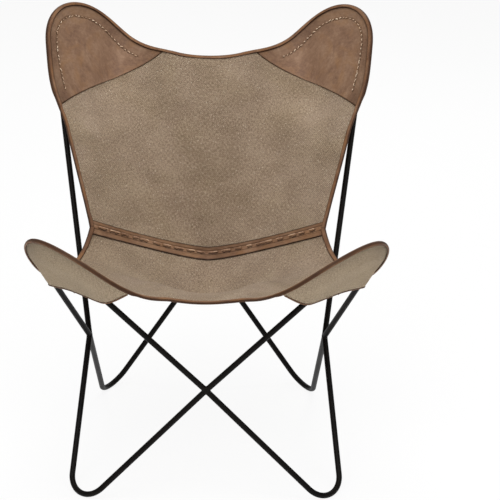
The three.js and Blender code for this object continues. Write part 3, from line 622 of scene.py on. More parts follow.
# Washed cotton canvas: plain weave of thick and thin yarn with slubs, rubbed pale on its high spots
# and washed unevenly towards khaki. The weave is drawn at twice its real spacing, because the real
# one is finer than the picture shows.
def canvas_cloth(name, dark, middle, pale, khaki, slub_shade):
    cloth = new_material(name)
    yarn_spacing = 0.0020
    yarn_marks = (0.0055, 0.0016), (0.0016, 0.006)
    wander_size, wander_reach = 0.012, 0.0012
    wash_size, drift_size = 0.070, 0.13
    wash_share, weave_share = 0.3, 0.09
    slub_spacing, slub_cutoff = 0.0056, 0.72
    yarn_relief_share, slub_relief_share = 0.9, 1.5
    weave_depth = 0.0007
    cut = add_node(cloth, "UVMap", uv_map="cut").outputs["UV"]
    wander = add_node(cloth, "TexNoise", {"Scale": 1 / wander_size, "Detail": 2.0}, {"Vector": cut})
    moved = add_node(cloth, "VectorMath", {"Scale": wander_reach}, {0: wander.outputs["Color"]},
                     operation="SCALE")
    threads = add_node(cloth, "VectorMath", {}, {0: cut, 1: moved.outputs["Vector"]}, operation="ADD")
    phase = add_node(cloth, "VectorMath", {"Scale": math.pi / yarn_spacing},
                     {0: threads.outputs["Vector"]}, operation="SCALE")
    wave = add_node(cloth, "VectorMath", {}, {0: phase.outputs["Vector"]}, operation="SINE")
    parts = add_node(cloth, "SeparateXYZ", {}, {0: wave.outputs["Vector"]})
    over = add_node(cloth, "Math", {}, {0: parts.outputs["X"], 1: parts.outputs["Y"]},
                    operation="MULTIPLY")
    yarns = []
    for length, width in yarn_marks:
        stretched = add_node(cloth, "Mapping", {"Scale": (1 / length, 1 / width, 1)}, {"Vector": cut})
        yarns.append(add_node(cloth, "TexNoise", {"Scale": 1.0, "Detail": 3.0, "Roughness": 0.7},
                              {"Vector": stretched.outputs["Vector"]}))
    yarn = add_node(cloth, "Math", {}, {0: yarns[0].outputs["Fac"], 1: yarns[1].outputs["Fac"]},
                    operation="ADD")
    washed = add_node(cloth, "TexNoise", {"Scale": 1 / wash_size, "Detail": 2.0, "Roughness": 0.5},
                      {"Vector": cut})
    tone = add_node(cloth, "Math", {1: wash_share}, {0: washed.outputs["Fac"], 2: yarn.outputs[0]},
                    operation="MULTIPLY_ADD")
    woven_tone = add_node(cloth, "Math", {1: weave_share}, {0: over.outputs[0], 2: tone.outputs[0]},
                          operation="MULTIPLY_ADD")
    place_in_ramp = add_node(cloth, "MapRange", {"From Min": 0.84, "From Max": 1.46},
                             {"Value": woven_tone.outputs[0]})
    base = add_node(cloth, "ValToRGB", {}, {"Fac": place_in_ramp.outputs[0]},
                    [(0.08, linear(dark)), (0.5, linear(middle)), (0.92, linear(pale))])
    drift = add_node(cloth, "TexNoise", {"Scale": 1 / drift_size, "Detail": 1.0, "Distortion": 0.6},
                     {"Vector": cut})
    khaki_share = add_node(cloth, "MapRange", {"From Min": 0.42, "From Max": 0.68, "To Max": 0.3},
                           {"Value": drift.outputs["Fac"]})
    tinted = add_node(cloth, "Mix", {colour_b: linear(khaki)},
                      {0: khaki_share.outputs[0], colour_a: base.outputs["Color"]},
                      data_type="RGBA", blend_type="MULTIPLY")
    cells = add_node(cloth, "TexVoronoi", {"Scale": 1 / slub_spacing, "Randomness": 1.0},
                     {"Vector": cut})
    near = add_node(cloth, "MapRange", {"From Min": 0.20, "From Max": 0.10},
                    {"Value": cells.outputs["Distance"]})
    drawn = add_node(cloth, "SeparateColor", {}, {"Color": cells.outputs["Color"]})
    some = add_node(cloth, "Math", {1: slub_cutoff}, {0: drawn.outputs[0]}, operation="GREATER_THAN")
    slub = add_node(cloth, "Math", {}, {0: near.outputs[0], 1: some.outputs[0]}, operation="MULTIPLY")
    slubbed = add_node(cloth, "Mix", {colour_b: linear(slub_shade)},
                       {0: slub.outputs[0], colour_a: tinted.outputs[mixed_colour]}, data_type="RGBA")
    relief = add_node(cloth, "Math", {1: yarn_relief_share}, {0: yarn.outputs[0], 2: over.outputs[0]},
                      operation="MULTIPLY_ADD")
    relief = add_node(cloth, "Math", {1: slub_relief_share}, {0: slub.outputs[0], 2: relief.outputs[0]},
                      operation="MULTIPLY_ADD")
    weave = add_node(cloth, "Bump", {"Strength": 1.0, "Distance": weave_depth},
                     {"Height": relief.outputs[0]})
    shader = add_node(cloth, "BsdfPrincipled",
                      {"Roughness": 0.92, "Sheen Weight": 0.08, "Sheen Roughness": 0.5,
                       "Specular IOR Level": 0.2},
                      {"Base Color": slubbed.outputs[mixed_colour], "Normal": weave.outputs["Normal"]})
    add_node(cloth, "OutputMaterial", {}, {"Surface": shader.outputs["BSDF"]})
    return cloth


panel_canvas = canvas_cloth("washed cotton canvas", "6a5947", "947f6a", "bca992", "ebebd6", "d8cab6")
panel_columns = 168
panel_rows = 108
waist_trim = 0.0008


def panel(name, sheet, node):
    start = waist_trim / np.linalg.norm(sheet.place(0, 1) - waist(0))
    across, up = np.meshgrid(np.linspace(-1, 1, panel_columns + 1),
                             np.linspace(start, 1, panel_rows + 1))
    places = sheet.place(across, up)
    piece = slab(name, places, sheet.normal(across, up), np.full(across.shape, canvas_thickness), {})
    finish_piece(piece, name, panel_canvas, [node])
    return piece, flat_cut(places)


back_cloth, back_cut = panel("back_canvas", back, "back_panel")
seat_cloth, seat_cut = panel("seat_canvas", seat, "seat_panel")


# Corner pockets
# Behind each ear a piece of the same canvas is sewn along the rim and left open towards the middle
# of the sling, so that it slips over the hoop. Its open mouth has a narrow folded leather hem.
pocket_thickness = 0.0018
pocket_drop = 0.0105
overlay = canvas_thickness / 2 + rod_gap
pocket_seam = overlay + pocket_thickness / 2
pocket_inset = 0.0030
pocket_cells = 72
hug_shares = 0.12, 0.42
sway_waves = 1.5

# The pocket canvas is painted paler than the panels' canvas as painted light, since the pockets'
# undersides face down and away from the lamps.
pocket_canvas = canvas_cloth("khaki canvas with painted light", "90806a", "b29d83", "cbb89c", "eeebd9", "d9caaf")
back_mouth_shares = {"side": 0.52, "middle": (-0.60, 0.74), "far": -0.40, "sway": 0}
seat_mouth_shares = {"side": 0.39, "middle": (-0.57, 0.62), "far": -0.41, "sway": -0.009}


# Places inside a corner piece: right along the far edge and down along the side edge from the tip
# of the ear. Its mouth is one smooth line from the side edge to the far edge, which may sway.
def corner_grid(sheet, mouth, inset, right, down):
    right, down = np.meshgrid(right, down)
    middle = np.array(mouth["middle"])

    def along_far(share):
        return np.stack(sheet.inset(-1 + (mouth["far"] + 1) * share, 1, inset), -1)

    def along_side(share):
        return np.stack(sheet.inset(-1, 1 + (mouth["side"] - 1) * share, inset), -1)

    tip, far_end = along_far(np.array([0, 1]))
    side_end = along_side(np.array(1))
    pull = 2 * middle - (side_end + far_end) / 2
    swaying = mouth["sway"] * unit(tip - middle)

    def along_mouth(share):
        share = share[..., None]
        line = (1 - share) ** 2 * side_end + 2 * share * (1 - share) * pull + share ** 2 * far_end
        return line + swaying * np.sin(2 * math.pi * sway_waves * share)

    far, low = along_far(right[0])[None], along_mouth(right[0] / 2)[None]
    side, high = along_side(down[:, 0])[:, None], along_mouth(1 - down[:, 0] / 2)[:, None]
    right, down = right[..., None], down[..., None]
    fold_corner = along_mouth(np.array(1 / 2))
    corners = ((tip * (1 - right) + far_end * right) * (1 - down)
               + (side_end * (1 - right) + fold_corner * right) * down)
    return far * (1 - down) + low * down + side * (1 - right) + high * right - corners


# How far a place lies outside a hoop's centre line, measured in the hoop's plane.
def beyond_rod(frame_hoop, places):
    offset = places - frame_hoop["middle"]
    inward = offset @ frame_hoop["inward"]
    along = np.abs(offset @ frame_hoop["along"])
    half_angle = frame_hoop["half_angle"]
    on_bend = np.arctan2(along, -inward) < math.pi / 2 - half_angle
    from_leg = along * math.cos(half_angle) - inward * math.sin(half_angle)
    return np.where(on_bend, np.hypot(inward, along), from_leg) - frame_hoop["bend"]


# The pocket hangs under the rod and rises outside it to meet the sheet along the ear's edge. Round
# the tip and down the side it hugs the rod, so that the edge stands out beyond it.
def under_rod(sheet, across, up):
    ear = sheet.ear
    above = sheet.place(across, up)
    height = (above - ear["middle"]) @ ear["normal"]
    beyond = np.maximum(beyond_rod(ear, above) - rod_radius / 2, 0)
    to_seam = np.maximum(sheet.rim_distance(above) - pocket_inset, 0)
    share = beyond / (beyond + to_seam + rod_gap)
    hug = 1 - smooth_step(1 + across, *hug_shares)
    rise = share ** 2 * (1 - hug) + (1 - (1 - share) ** 2) * hug
    wanted = -pocket_drop * (1 - rise) + (height - pocket_seam) * rise
    return above + (wanted - height)[..., None] * ear["normal"]


def mirror_side(array, side):
    return array * np.array([side, 1, 1])


pocket_grids = {}
for side_name, side in sides.items():
    for end, sheet, mouth in (("rear", back, back_mouth_shares), ("front", seat, seat_mouth_shares)):
        shares = np.linspace(0, 1, pocket_cells + 1)
        grid = corner_grid(sheet, mouth, pocket_inset, shares, shares)
        places = mirror_side(under_rod(sheet, grid[..., 0], grid[..., 1]), side)
        normals = np.broadcast_to(mirror_side(sheet.ear["normal"], side), places.shape)
        cloth = slab(side_name + "_" + end + "_pocket_cloth", places, normals,
                     np.full(places.shape[:2], pocket_thickness), {})
        finish_piece(cloth, cloth.name, pocket_canvas,
                     [side_name + "_" + end + "_pocket"])
        pocket_grids[side_name, end] = places, normals


# Leather corner patches
# The two top corners are faced with waxed brown leather, cut to the ear and sewn down under the
# edge binding. It is smooth and matt, rubbed paler in its middle, darker along its cut edges.
leather_thickness = 0.0016
patch_inset = 0.0045
patch_mouth_shares = {"side": 0.46, "middle": (-0.5, 0.755), "far": -0.235, "sway": 0}
patch_cells = 120
patch_rounding_share = 0.005
edge_step_shares = 0, 0.2, 0.5
thin_edge_share = 0.25
patch_waver = 0.00012
patch_wave = 0.030
waver_reach = 0.0112
back_binding_width = 0.0056
stitch_inset = 0.024
far_stitch_drop = 0.007
low_stitch_drop = 0.012
far_turn_shares = 0.42, 0.58
low_turn_shares = 0.26, 0.37
stitch_line_points = 160
stitch_sink = 0.0006
groove_width = 0.0024
stitch_stray = 0.0006
corner_stitch_length = 0.0060
corner_stitch_pitch = 0.0100
stitch_shift_share = 0.16
stitch_length_shares = 0.5, 1.15
stitch_slant_share = 0.6
# Patch darkening: the edge and rim marks are partly burnish and partly painted shade; the hole and
# groove marks are painted shade.
edge_burnish_and_shade, edge_burnish_and_shade_width = 0.95, 0.0021
hole_shade, hole_shade_width = 0.9, 0.0015
rim_burnish_and_shade, rim_burnish_and_shade_width = 0.75, 0.0026
outer_burnish, outer_stain = 0.30, 0.034
low_burnish, low_stain = 0.26, 0.060
groove_shade = 0.30
patch_rub = 0.008, 0.006


# Waxed leather: a closed grain under wax, rubbed in streaks, with cloudy tone where it was pulled
# and warmer patches where the wax is thin. A burnish attribute darkens it towards the edge colour:
# burnished edges, mixed with painted shade at folds, stitch grooves, creases, needle holes and slots.
def leather_skin(name, dark, middle, pale, warm, edge, rub_length, rub_width):
    cloud_size, wax_size, grain_size = 0.060, 0.045, 0.0014
    rub_share, rub_relief_share = 0.7, 2.2
    grain_depth = 0.0006
    leather = new_material(name)
    cut = add_node(leather, "UVMap", uv_map="cut").outputs["UV"]
    clouds = add_node(leather, "TexNoise", {"Scale": 1 / cloud_size, "Detail": 5.0, "Roughness": 0.6,
                                            "Distortion": 0.5}, {"Vector": cut})
    stretched = add_node(leather, "Mapping", {"Scale": (1 / rub_length, 1 / rub_width, 1)},
                         {"Vector": cut})
    rubs = add_node(leather, "TexNoise", {"Scale": 1.0, "Detail": 6.0, "Roughness": 0.75},
                    {"Vector": stretched.outputs["Vector"]})
    tone = add_node(leather, "Math", {1: rub_share}, {0: rubs.outputs["Fac"], 2: clouds.outputs["Fac"]},
                    operation="MULTIPLY_ADD")
    place_in_ramp = add_node(leather, "MapRange", {"From Min": 0.50, "From Max": 1.18},
                             {"Value": tone.outputs[0]})
    base = add_node(leather, "ValToRGB", {}, {"Fac": place_in_ramp.outputs[0]},
                    [(0.1, linear(dark)), (0.5, linear(middle)), (0.9, linear(pale))])
    thin_wax = add_node(leather, "TexNoise", {"Scale": 1 / wax_size, "Detail": 4.0, "Distortion": 1.0},
                        {"Vector": cut})
    warm_share = add_node(leather, "MapRange", {"From Min": 0.48, "From Max": 0.70, "To Max": 0.45},
                          {"Value": thin_wax.outputs["Fac"]})
    warmed = add_node(leather, "Mix", {colour_b: linear(warm)},
                      {0: warm_share.outputs[0], colour_a: base.outputs["Color"]}, data_type="RGBA")
    # The burnish attribute holds burnished leather and painted shade together.
    burnish_and_shade = add_node(leather, "Attribute", attribute_name="burnish_and_shade")
    burnished_and_shaded = add_node(leather, "Mix", {colour_b: linear(edge)},
                     {0: burnish_and_shade.outputs["Fac"], colour_a: warmed.outputs[mixed_colour]},
                     data_type="RGBA")
    grain = add_node(leather, "TexVoronoi", {"Scale": 1 / grain_size, "Randomness": 1.0},
                     {"Vector": cut}, feature="DISTANCE_TO_EDGE")
    relief = add_node(leather, "Math", {1: rub_relief_share},
                      {0: rubs.outputs["Fac"], 2: grain.outputs["Distance"]},
                      operation="MULTIPLY_ADD")
    pebbled = add_node(leather, "Bump", {"Strength": 0.7, "Distance": grain_depth},
                       {"Height": relief.outputs[0]})
    gloss = add_node(leather, "MapRange", {"To Min": 0.50, "To Max": 0.74},
                     {"Value": rubs.outputs["Fac"]})
    shader = add_node(leather, "BsdfPrincipled", {"Specular IOR Level": 0.18},
                      {"Base Color": burnished_and_shaded.outputs[mixed_colour], "Roughness": gloss.outputs[0],
                       "Normal": pebbled.outputs["Normal"]})
    add_node(leather, "OutputMaterial", {}, {"Surface": shader.outputs["BSDF"]})
    return leather


patch_leather = leather_skin("waxed brown leather", "62483a", "81644f", "997d66", "8e6946", "38220f",
                             *patch_rub)


# Shares along a piece, close together at both ends, where its cut edge is rounded.
def edged_shares(cells, rounding):
    inner = np.linspace(rounding, 1 - rounding, cells)
    ends = rounding * np.array(edge_step_shares)
    return np.concatenate([ends, inner, 1 - ends[::-1]])


# How thick a slab is near a cut edge, as a share, where the knife and wear have rounded it.
def rounded_edge(distance, radius):
    share = np.clip(distance / radius, 0, 1)
    return thin_edge_share + (1 - thin_edge_share) * np.sqrt(1 - (1 - share) ** 2)


# How far each place lies from the nearest of some points, or from a line through them.
def nearest(places, points):
    return np.linalg.norm(places[..., None, :] - points, axis=-1).min(-1)


# Places at given distances along a line, by straight steps between its points.
def along_line(line, at):
    run = run_along(line)
    return np.stack([np.interp(at, run, line[:, axis]) for axis in range(3)], -1)


# Hand stitches along a line: where the middle of each one falls, how long it is, its slant and how
# far off the line it strays.
def hand_stitches(line, length, pitch, seed):
    draw = np.random.RandomState(seed)
    whole = run_along(line)[-1]
    count = int(whole / pitch)
    shifts = draw.uniform(-stitch_shift_share, stitch_shift_share, count) * pitch
    at = (np.arange(count) + 1 / 2) * whole / count + shifts
    lengths = length * draw.uniform(*stitch_length_shares, count)
    slants = draw.uniform(-stitch_slant_share, stitch_slant_share, count)
    return at, lengths, slants, draw.uniform(-1, 1, count) * stitch_stray


def needle_holes(line, at, lengths):
    return np.concatenate([along_line(line, at - lengths / 2), along_line(line, at + lengths / 2)])


shares = edged_shares(patch_cells, patch_rounding_share)
grid = corner_grid(back, patch_mouth_shares, patch_inset, shares, shares)
shares = np.linspace((patch_mouth_shares["side"] + stitch_inset / waist_out) / 2,
                     1 + (patch_mouth_shares["far"] - stitch_inset / waist_out) / 2, stitch_line_points)
insets = stitch_inset + far_stitch_drop * smooth_step(shares, *far_turn_shares)
insets += low_stitch_drop * (1 - smooth_step(shares, *low_turn_shares))
line_across, line_up = back.inset(*back.rim_shares(shares), insets)
corner_seeds = {"left": 12, "right": 31}
corner_rows = {}

for side_name, side in sides.items():
    seed = corner_seeds[side_name]
    across, up = grid[..., 0] * side, grid[..., 1]
    normals = back.normal(across, up)
    places = back.place(across, up) + normals * (overlay + leather_thickness / 2)
    line_rise = back.normal(line_across * side, line_up)
    line = back.place(line_across * side, line_up) + line_rise * (overlay + leather_thickness)
    stitches = hand_stitches(line, corner_stitch_length, corner_stitch_pitch, seed)
    corner_rows[side_name] = line, line_rise, stitches

    from_mouth = np.minimum(np.linalg.norm(places - places[-1:], axis=-1),
                            np.linalg.norm(places - places[:, -1:], axis=-1))
    from_rim = back.rim_distance(mirror_side(places, side))
    from_hole = nearest(places, needle_holes(line, *stitches[:2]))
    from_line = nearest(places, line)
    from_low_end = nearest(places, places[-1:, 0])
    # Darkening on the patch: the lower cut edge, burnished and with painted shade under its thickness;
    # painted shade in the needle holes and the stitch groove; a painted contact shadow, with burnish,
    # beside the binding's inner edge; and broader darkening towards the rim and the low end.
    burnish_and_shade = edge_burnish_and_shade * np.exp(-(from_mouth / edge_burnish_and_shade_width) ** 2)
    burnish_and_shade += hole_shade * np.exp(-(from_hole / hole_shade_width) ** 2)
    burnish_and_shade += rim_burnish_and_shade * np.exp(-((from_rim - back_binding_width) / rim_burnish_and_shade_width) ** 2)
    burnish_and_shade += outer_burnish * np.exp(-(from_rim / outer_stain) ** 2)
    burnish_and_shade += low_burnish * np.exp(-(from_low_end / low_stain) ** 2)
    burnish_and_shade += groove_shade * np.exp(-(from_line / groove_width) ** 2)
    sink = stitch_sink * np.exp(-(from_line / groove_width) ** 2)
    waver = patch_waver * swells(across * waist_out, up * waist_height, patch_wave, seed)
    waver = waver * smooth_step(from_rim, back_binding_width, waver_reach)
    patch = slab(side_name + "_top_corner_leather", places + normals * (waver - sink)[..., None],
                 normals, leather_thickness * rounded_edge(from_mouth, leather_thickness),
                 {"burnish_and_shade": np.clip(burnish_and_shade, 0, 1)})
    finish_piece(patch, patch.name, patch_leather, [side_name + "_top_corner_patch"])


# Edge bindings
# Each sheet's free edge is folded into one long strip of the same leather, sewn through. It starts
# and ends at the waist and passes over the corner patches, the pockets and the waist band.
binding_thickness = 0.0012
back_binding_nose = 0.0023
seat_binding_nose = 0.0016
fold_ease = 0.0004
binding_stations = 420
rim_samples = 1200
back_binding_widths = {"over": back_binding_width, "middle": 0.0056, "under": 0.0056}
seat_binding_widths = {"over": 0.0078, "middle": 0.0056, "under": 0.0046}
middle_fold_shares = 0.66, 0.80
inner_share = 0.04
band_width = 0.033
patch_lap_share = 0.012
pocket_lap_share = 0.02
width_waver = 0.0005
width_wave = 0.05
# The fold and the arms' inner edges are painted darker: partly burnished leather and partly painted
# shade under the fold and in the contact line against the sheet.
binding_fold_burnish_and_shade = 0.85
arm_shares = np.array([1.0, 0.985, 0.93, 0.8, 0.6, 0.4, 0.2, 0.0])
crown_shares = np.array([0.35, 0.75, 1.0, 1.12, 1.2, 1.2, 1.12, 1.0])
arm_burnish_and_shade_shares = np.array([1, 1, 0.9, 0.35, 0, 0, 0.05, 0.15])
inner_arm_shares = np.array([0.97, 0])
inner_nose_share = 0.3
inner_points = 5
fold_turns = np.radians([70, 45, 20, 0, -20, -45, -70])
binding_rub = 0.020, 0.003

binding_leather = leather_skin("folded edge leather", "573d2d", "70503a", "8c6b50", "8a5f36", "2e1709",
                               *binding_rub)


def cut_along(rings):
    run = run_along(rings[:, 0])
    girth = np.linalg.norm(np.diff(rings, axis=1), axis=-1).mean(0)
    girth = np.concatenate([[0], np.cumsum(girth)])
    return np.stack(np.broadcast_arrays(run[:, None], girth[None, :]), -1)


# A closed bar from a row of equal outlines.
def swept(name, rings, shades):
    stations, points = rings.shape[:2]
    index = np.arange(stations * points).reshape(stations, points)
    after = np.roll(index, -1, axis=1)
    quads = np.stack([index[:-1], after[:-1], after[1:], index[1:]], -1).reshape(-1, 4).tolist()
    caps = [index[0, ::-1].tolist(), index[-1].tolist()]
    shades = {shade: np.broadcast_to(values, (stations, points)).ravel()
              for shade, values in shades.items()}
    return closed_piece(name, rings.reshape(-1, 3), quads + caps, cut_along(rings).reshape(-1, 2),
                        shades)


# A strip folded round an edge. Its two arms lie over and under the cloth, a little crowned, and its
# fold stands just outside the edge.
def folded_strip(name, edge, inward, rise, over, under, widths, thickness, nose, fold_burnish_and_shade):
    over, under = np.broadcast_arrays(over, under, np.zeros(len(edge)))[:2]
    over, under = over[:, None], under[:, None]
    width, under_width = (np.broadcast_to(width, len(edge))[:, None] for width in widths)
    middle, half = (over - under) / 2, (over + under) / 2 + thickness
    flat = np.zeros_like(width)
    reach = [arm_shares * width, flat - nose * np.cos(fold_turns), arm_shares[::-1] * under_width,
             inner_arm_shares * under_width, flat - nose * inner_nose_share,
             inner_arm_shares[::-1] * width]
    height = [over + thickness * crown_shares, middle + half * np.sin(fold_turns),
              -under - thickness * crown_shares[::-1], -under + np.zeros(2), middle,
              over + np.zeros(2)]
    reach, height = np.concatenate(reach, 1), np.concatenate(height, 1)
    rings = edge[:, None] + inward[:, None] * reach[..., None] + rise[:, None] * height[..., None]
    # Darkening at the fold and along the arms' cut edges, partly burnish and partly painted shade.
    at_fold = np.broadcast_to(fold_burnish_and_shade, len(edge))[:, None] * np.cos(fold_turns)
    top, bottom, inner = (np.broadcast_to(part, (len(edge), len(part))) for part in (
        arm_burnish_and_shade_shares, arm_burnish_and_shade_shares[::-1], np.ones(inner_points)))
    return swept(name, rings, {"burnish_and_shade": np.concatenate([top, at_fold, bottom, inner], 1)})


# Places along the whole rim from the left waist over both ears to the right waist, with the
# directions into the sheet and up from it, and each one's share of its own half of the rim.
def rim_stations(sheet, stations):
    fine = np.linspace(0, 1, rim_samples)
    run = run_along(sheet.place(*sheet.rim_shares(fine)))
    shares = np.interp(np.linspace(0, run[-1], stations), run, fine)
    across, up = sheet.rim_shares(shares)
    inner_across = across + (sheet.core[0] - across) * inner_share
    inner_up = up + (sheet.core[1] - up) * inner_share
    across, inner_across = (np.concatenate([half, -half[-2::-1]]) for half in (across, inner_across))
    up, inner_up, shares = (np.concatenate([half, half[-2::-1]]) for half in (up, inner_up, shares))
    edge = sheet.place(across, up)
    heading = unit(np.gradient(edge, axis=0))
    inward = sheet.place(inner_across, inner_up) - edge
    inward = unit(inward - (inward * heading).sum(-1, keepdims=True) * heading)
    rise = unit(np.cross(inward, heading))
    rise *= np.sign((rise * sheet.normal(across, up)).sum(-1, keepdims=True))
    return edge, inward, rise, shares


# One from a corner piece's side end to its far end, along the rim, and nothing beyond its laps.
def between_ends(shares, mouth, lap):
    side_end, far_end = mouth["side"] / 2, 1 + mouth["far"] / 2
    return smooth_step(shares, side_end - lap, side_end) - smooth_step(shares, far_end, far_end + lap)


def binding(name, sheet, widths, nose, patch, pocket_mouth, node):
    edge, inward, rise, shares = rim_stations(sheet, binding_stations)
    run = run_along(edge)
    from_waist = np.minimum(run, run[-1] - run)
    leathers = 1 - smooth_step(from_waist, band_width / 2, band_width)
    if patch:
        leathers = leathers + between_ends(shares, patch, patch_lap_share)
    over = overlay + fold_ease + (leather_thickness + rod_gap) * leathers
    pockets = between_ends(shares, pocket_mouth, pocket_lap_share)
    under = overlay + fold_ease + (pocket_thickness + rod_gap) * pockets
    waver = swells(run, run * 0, width_wave, sheet.seed) * width_waver
    at_middle = smooth_step(shares, *middle_fold_shares)
    over_width = widths["over"] + (widths["middle"] - widths["over"]) * at_middle + waver
    piece = folded_strip(name, edge, inward, rise, over, under, (over_width, widths["under"]),
                         binding_thickness, nose, binding_fold_burnish_and_shade)
    finish_piece(piece, name, binding_leather, [node])
    return piece


binding("back_edge_strip", back, back_binding_widths, back_binding_nose, patch_mouth_shares,
        back_mouth_shares, "back_edge_binding")
binding("seat_edge_strip", seat, seat_binding_widths, seat_binding_nose, None,
        seat_mouth_shares, "seat_edge_binding")


# Pocket hems
# Each pocket's open mouth is finished with a narrow folded strip of the same leather.
hem_width = 0.0035
hem_thickness = 0.0008
hem_nose = 0.0012
hem_gap = 0.0001
hem_trim = 2
# The hem's fold is painted darker, partly burnished leather and partly painted shade.
hem_fold_burnish_and_shade = 0.8
for (side_name, end), (places, normals) in pocket_grids.items():
    edge = np.concatenate([places[-1, :-1], places[::-1, -1]])
    inside = np.concatenate([places[-2, :-1], places[::-1, -2]])
    rise = np.concatenate([normals[-1, :-1], normals[::-1, -1]])
    trim = slice(hem_trim, -hem_trim)
    edge, inside, rise = edge[trim], inside[trim], rise[trim]
    heading = unit(np.gradient(edge, axis=0))
    inward = inside - edge
    inward = unit(inward - (inward * heading).sum(-1, keepdims=True) * heading)
    rise = unit(rise - (rise * heading).sum(-1, keepdims=True) * heading)
    rise = unit(rise - (rise * inward).sum(-1, keepdims=True) * inward)
    reach = pocket_thickness / 2 + hem_gap
    name = side_name + "_" + end + "_pocket_hem"
    hem = folded_strip(name, edge, inward, rise, reach, reach, (hem_width, hem_width),
                       hem_thickness, hem_nose, hem_fold_burnish_and_shade)
    finish_piece(hem, name, binding_leather, [side_name + "_" + end + "_pocket_piping"])


# Waist band
# A strip of leather covers the seam between back and seat and follows its shallow vee. It is
# creased on both sides of a hand-sewn middle row.
band_columns = 320
band_rows = 36
band_turn = 0.006
band_search_share = 0.12
band_search_steps = 24
band_rounding_share = 0.03
channel_middle = 0.0024
channel_half = 0.0052
crease_depth = 0.0006
crease_width = 0.0010
roll_inset = 0.0030
roll_width = 0.0022
worn_edge = 0.0012
band_end = 0.004
row_trim = 5
band_stitch_length = 0.0210
band_stitch_pitch = 0.0262
slot_drop = 0.0022
slot_width = 0.0014
slot_stray = 0.0009
slot_wave = 0.006
slot_overrun = -0.002, 0.001
broad_wave, broad_seed = 0.020, 5
short_wave, short_seed = 0.005, 9
slot_seed = 14
band_seed = 20
wave_share = 0.35
roll_share, crease_share, slot_share = 0.6, 1.3, 0.9
# Band darkening: the edges are partly burnish and partly painted shade; the creases and needle holes
# are painted shade.
band_edge_burnish_and_shade, band_edge_burnish_and_shade_width = 0.95, 0.0022
crease_shade, field_burnish = 0.6, 0.15
band_rub = 0.026, 0.0022
band_hole_shade, band_hole_shade_width = 0.9, 0.0016

band_leather = leather_skin("creased band leather", "5f442f", "7f5f48", "9c7c60", "8e6642", "20120a",
                            *band_rub)


# Places over the seam: across the chair, and a distance up the back or down the seat.
def band_places(across, distances, lift):
    near = np.linspace(0, band_search_share, band_search_steps)
    turn = np.array([-band_turn, band_turn])
    halves = []
    for sheet, reaches in ((back, np.maximum(distances, band_turn)),
                           (seat, np.maximum(-distances, band_turn))):
        chains = sheet.place(across[:, None], near[None, :])
        steps = np.linalg.norm(np.diff(chains, axis=1), axis=-1)
        runs = np.concatenate([np.zeros((len(across), 1)), np.cumsum(steps, 1)], 1)
        ups = np.array([np.interp(reaches, run, near) for run in runs])
        halves.append(sheet.place(across[:, None], ups) + sheet.normal(across[:, None], ups) * lift)
    above, below = halves
    normals = [sheet.normal(across, 0 * across) for sheet in (back, seat)]
    mitre = unit(normals[0] + normals[1])
    corner = waist(across) + mitre * (lift / (mitre * normals[0]).sum(-1))[:, None]
    share = np.clip((distances - turn[0]) / (turn[1] - turn[0]), 0, 1)[None, :, None]
    turned = ((1 - share) ** 2 * below + 2 * share * (1 - share) * corner[:, None]
              + share ** 2 * above)
    beyond_turn = np.abs(distances)[None, :, None] >= band_turn
    straight = np.where(distances[None, :, None] > 0, above, below)
    return np.where(beyond_turn, straight, turned).transpose(1, 0, 2)


def grid_normals(places, towards):
    along, rising = np.gradient(places, axis=1), np.gradient(places, axis=0)
    normals = unit(np.cross(along, rising))
    return normals * np.sign((normals * towards).sum(-1, keepdims=True))


across = np.linspace(-1, 1, band_columns) * (1 - band_end / waist_out)
distances = band_width * (edged_shares(band_rows, band_rounding_share) - 1 / 2)
places = band_places(across, distances, overlay + fold_ease + leather_thickness / 2)
normals = grid_normals(places, np.array([0, -1.0, 1.0]))
middle_row = np.abs(distances - channel_middle).argmin()
sewn = slice(row_trim, -row_trim)
band_rise = normals[middle_row][sewn]
band_line = places[middle_row][sewn] + band_rise * leather_thickness / 2
band_stitches = hand_stitches(band_line, band_stitch_length, band_stitch_pitch, band_seed)
from_hole = nearest(places, needle_holes(band_line, *band_stitches[:2]))
down, sideways = np.meshgrid(distances, across * waist_out, indexing="ij")
from_edge = band_width / 2 - np.abs(down)

# Two creases beside the channel, a rounded roll along each edge, small waves in two sizes, and
# ragged slots that the stitches have pulled open below them.
crease = np.exp(-((np.abs(down - channel_middle) - channel_half) / crease_width) ** 2)
in_channel = np.exp(-((down - channel_middle) / channel_half) ** 4)
roll = np.exp(-((roll_inset - from_edge) / roll_width) ** 2)
waver = swells(sideways, down, broad_wave, broad_seed)
waver += swells(sideways / 3, down, short_wave, short_seed)
columns = np.arange(len(across))
run = np.interp(columns, columns[sewn], run_along(band_line))
from_stitch = (np.abs(run[:, None] - band_stitches[0]) - band_stitches[1] / 2).min(-1)
in_stitch = 1 - smooth_step(from_stitch, *slot_overrun)
ragged = slot_drop + slot_stray * swells(sideways, down * 0, slot_wave, slot_seed)
slot = in_stitch * np.exp(-((down - channel_middle + ragged) / slot_width) ** 2)
heave = roll_share * roll - crease_share * crease - slot_share * slot + wave_share * waver
heave *= crease_depth
# Darkening on the band: its edges partly burnished and partly painted shade, painted shade in the
# creases, the needle holes and the pulled slots, and a little darker outside the channel.
burnish_and_shade = band_edge_burnish_and_shade * np.exp(-(from_edge / band_edge_burnish_and_shade_width) ** 2)
burnish_and_shade += crease_shade * crease + field_burnish * (1 - in_channel)
burnish_and_shade += band_hole_shade * np.exp(-(from_hole / band_hole_shade_width) ** 2) + slot
band = slab("waist_band_leather", places + normals * heave[..., None], normals,
            leather_thickness * rounded_edge(from_edge, worn_edge), {"burnish_and_shade": np.clip(burnish_and_shade, 0, 1)})
finish_piece(band, band.name, band_leather, ["waist_band"])


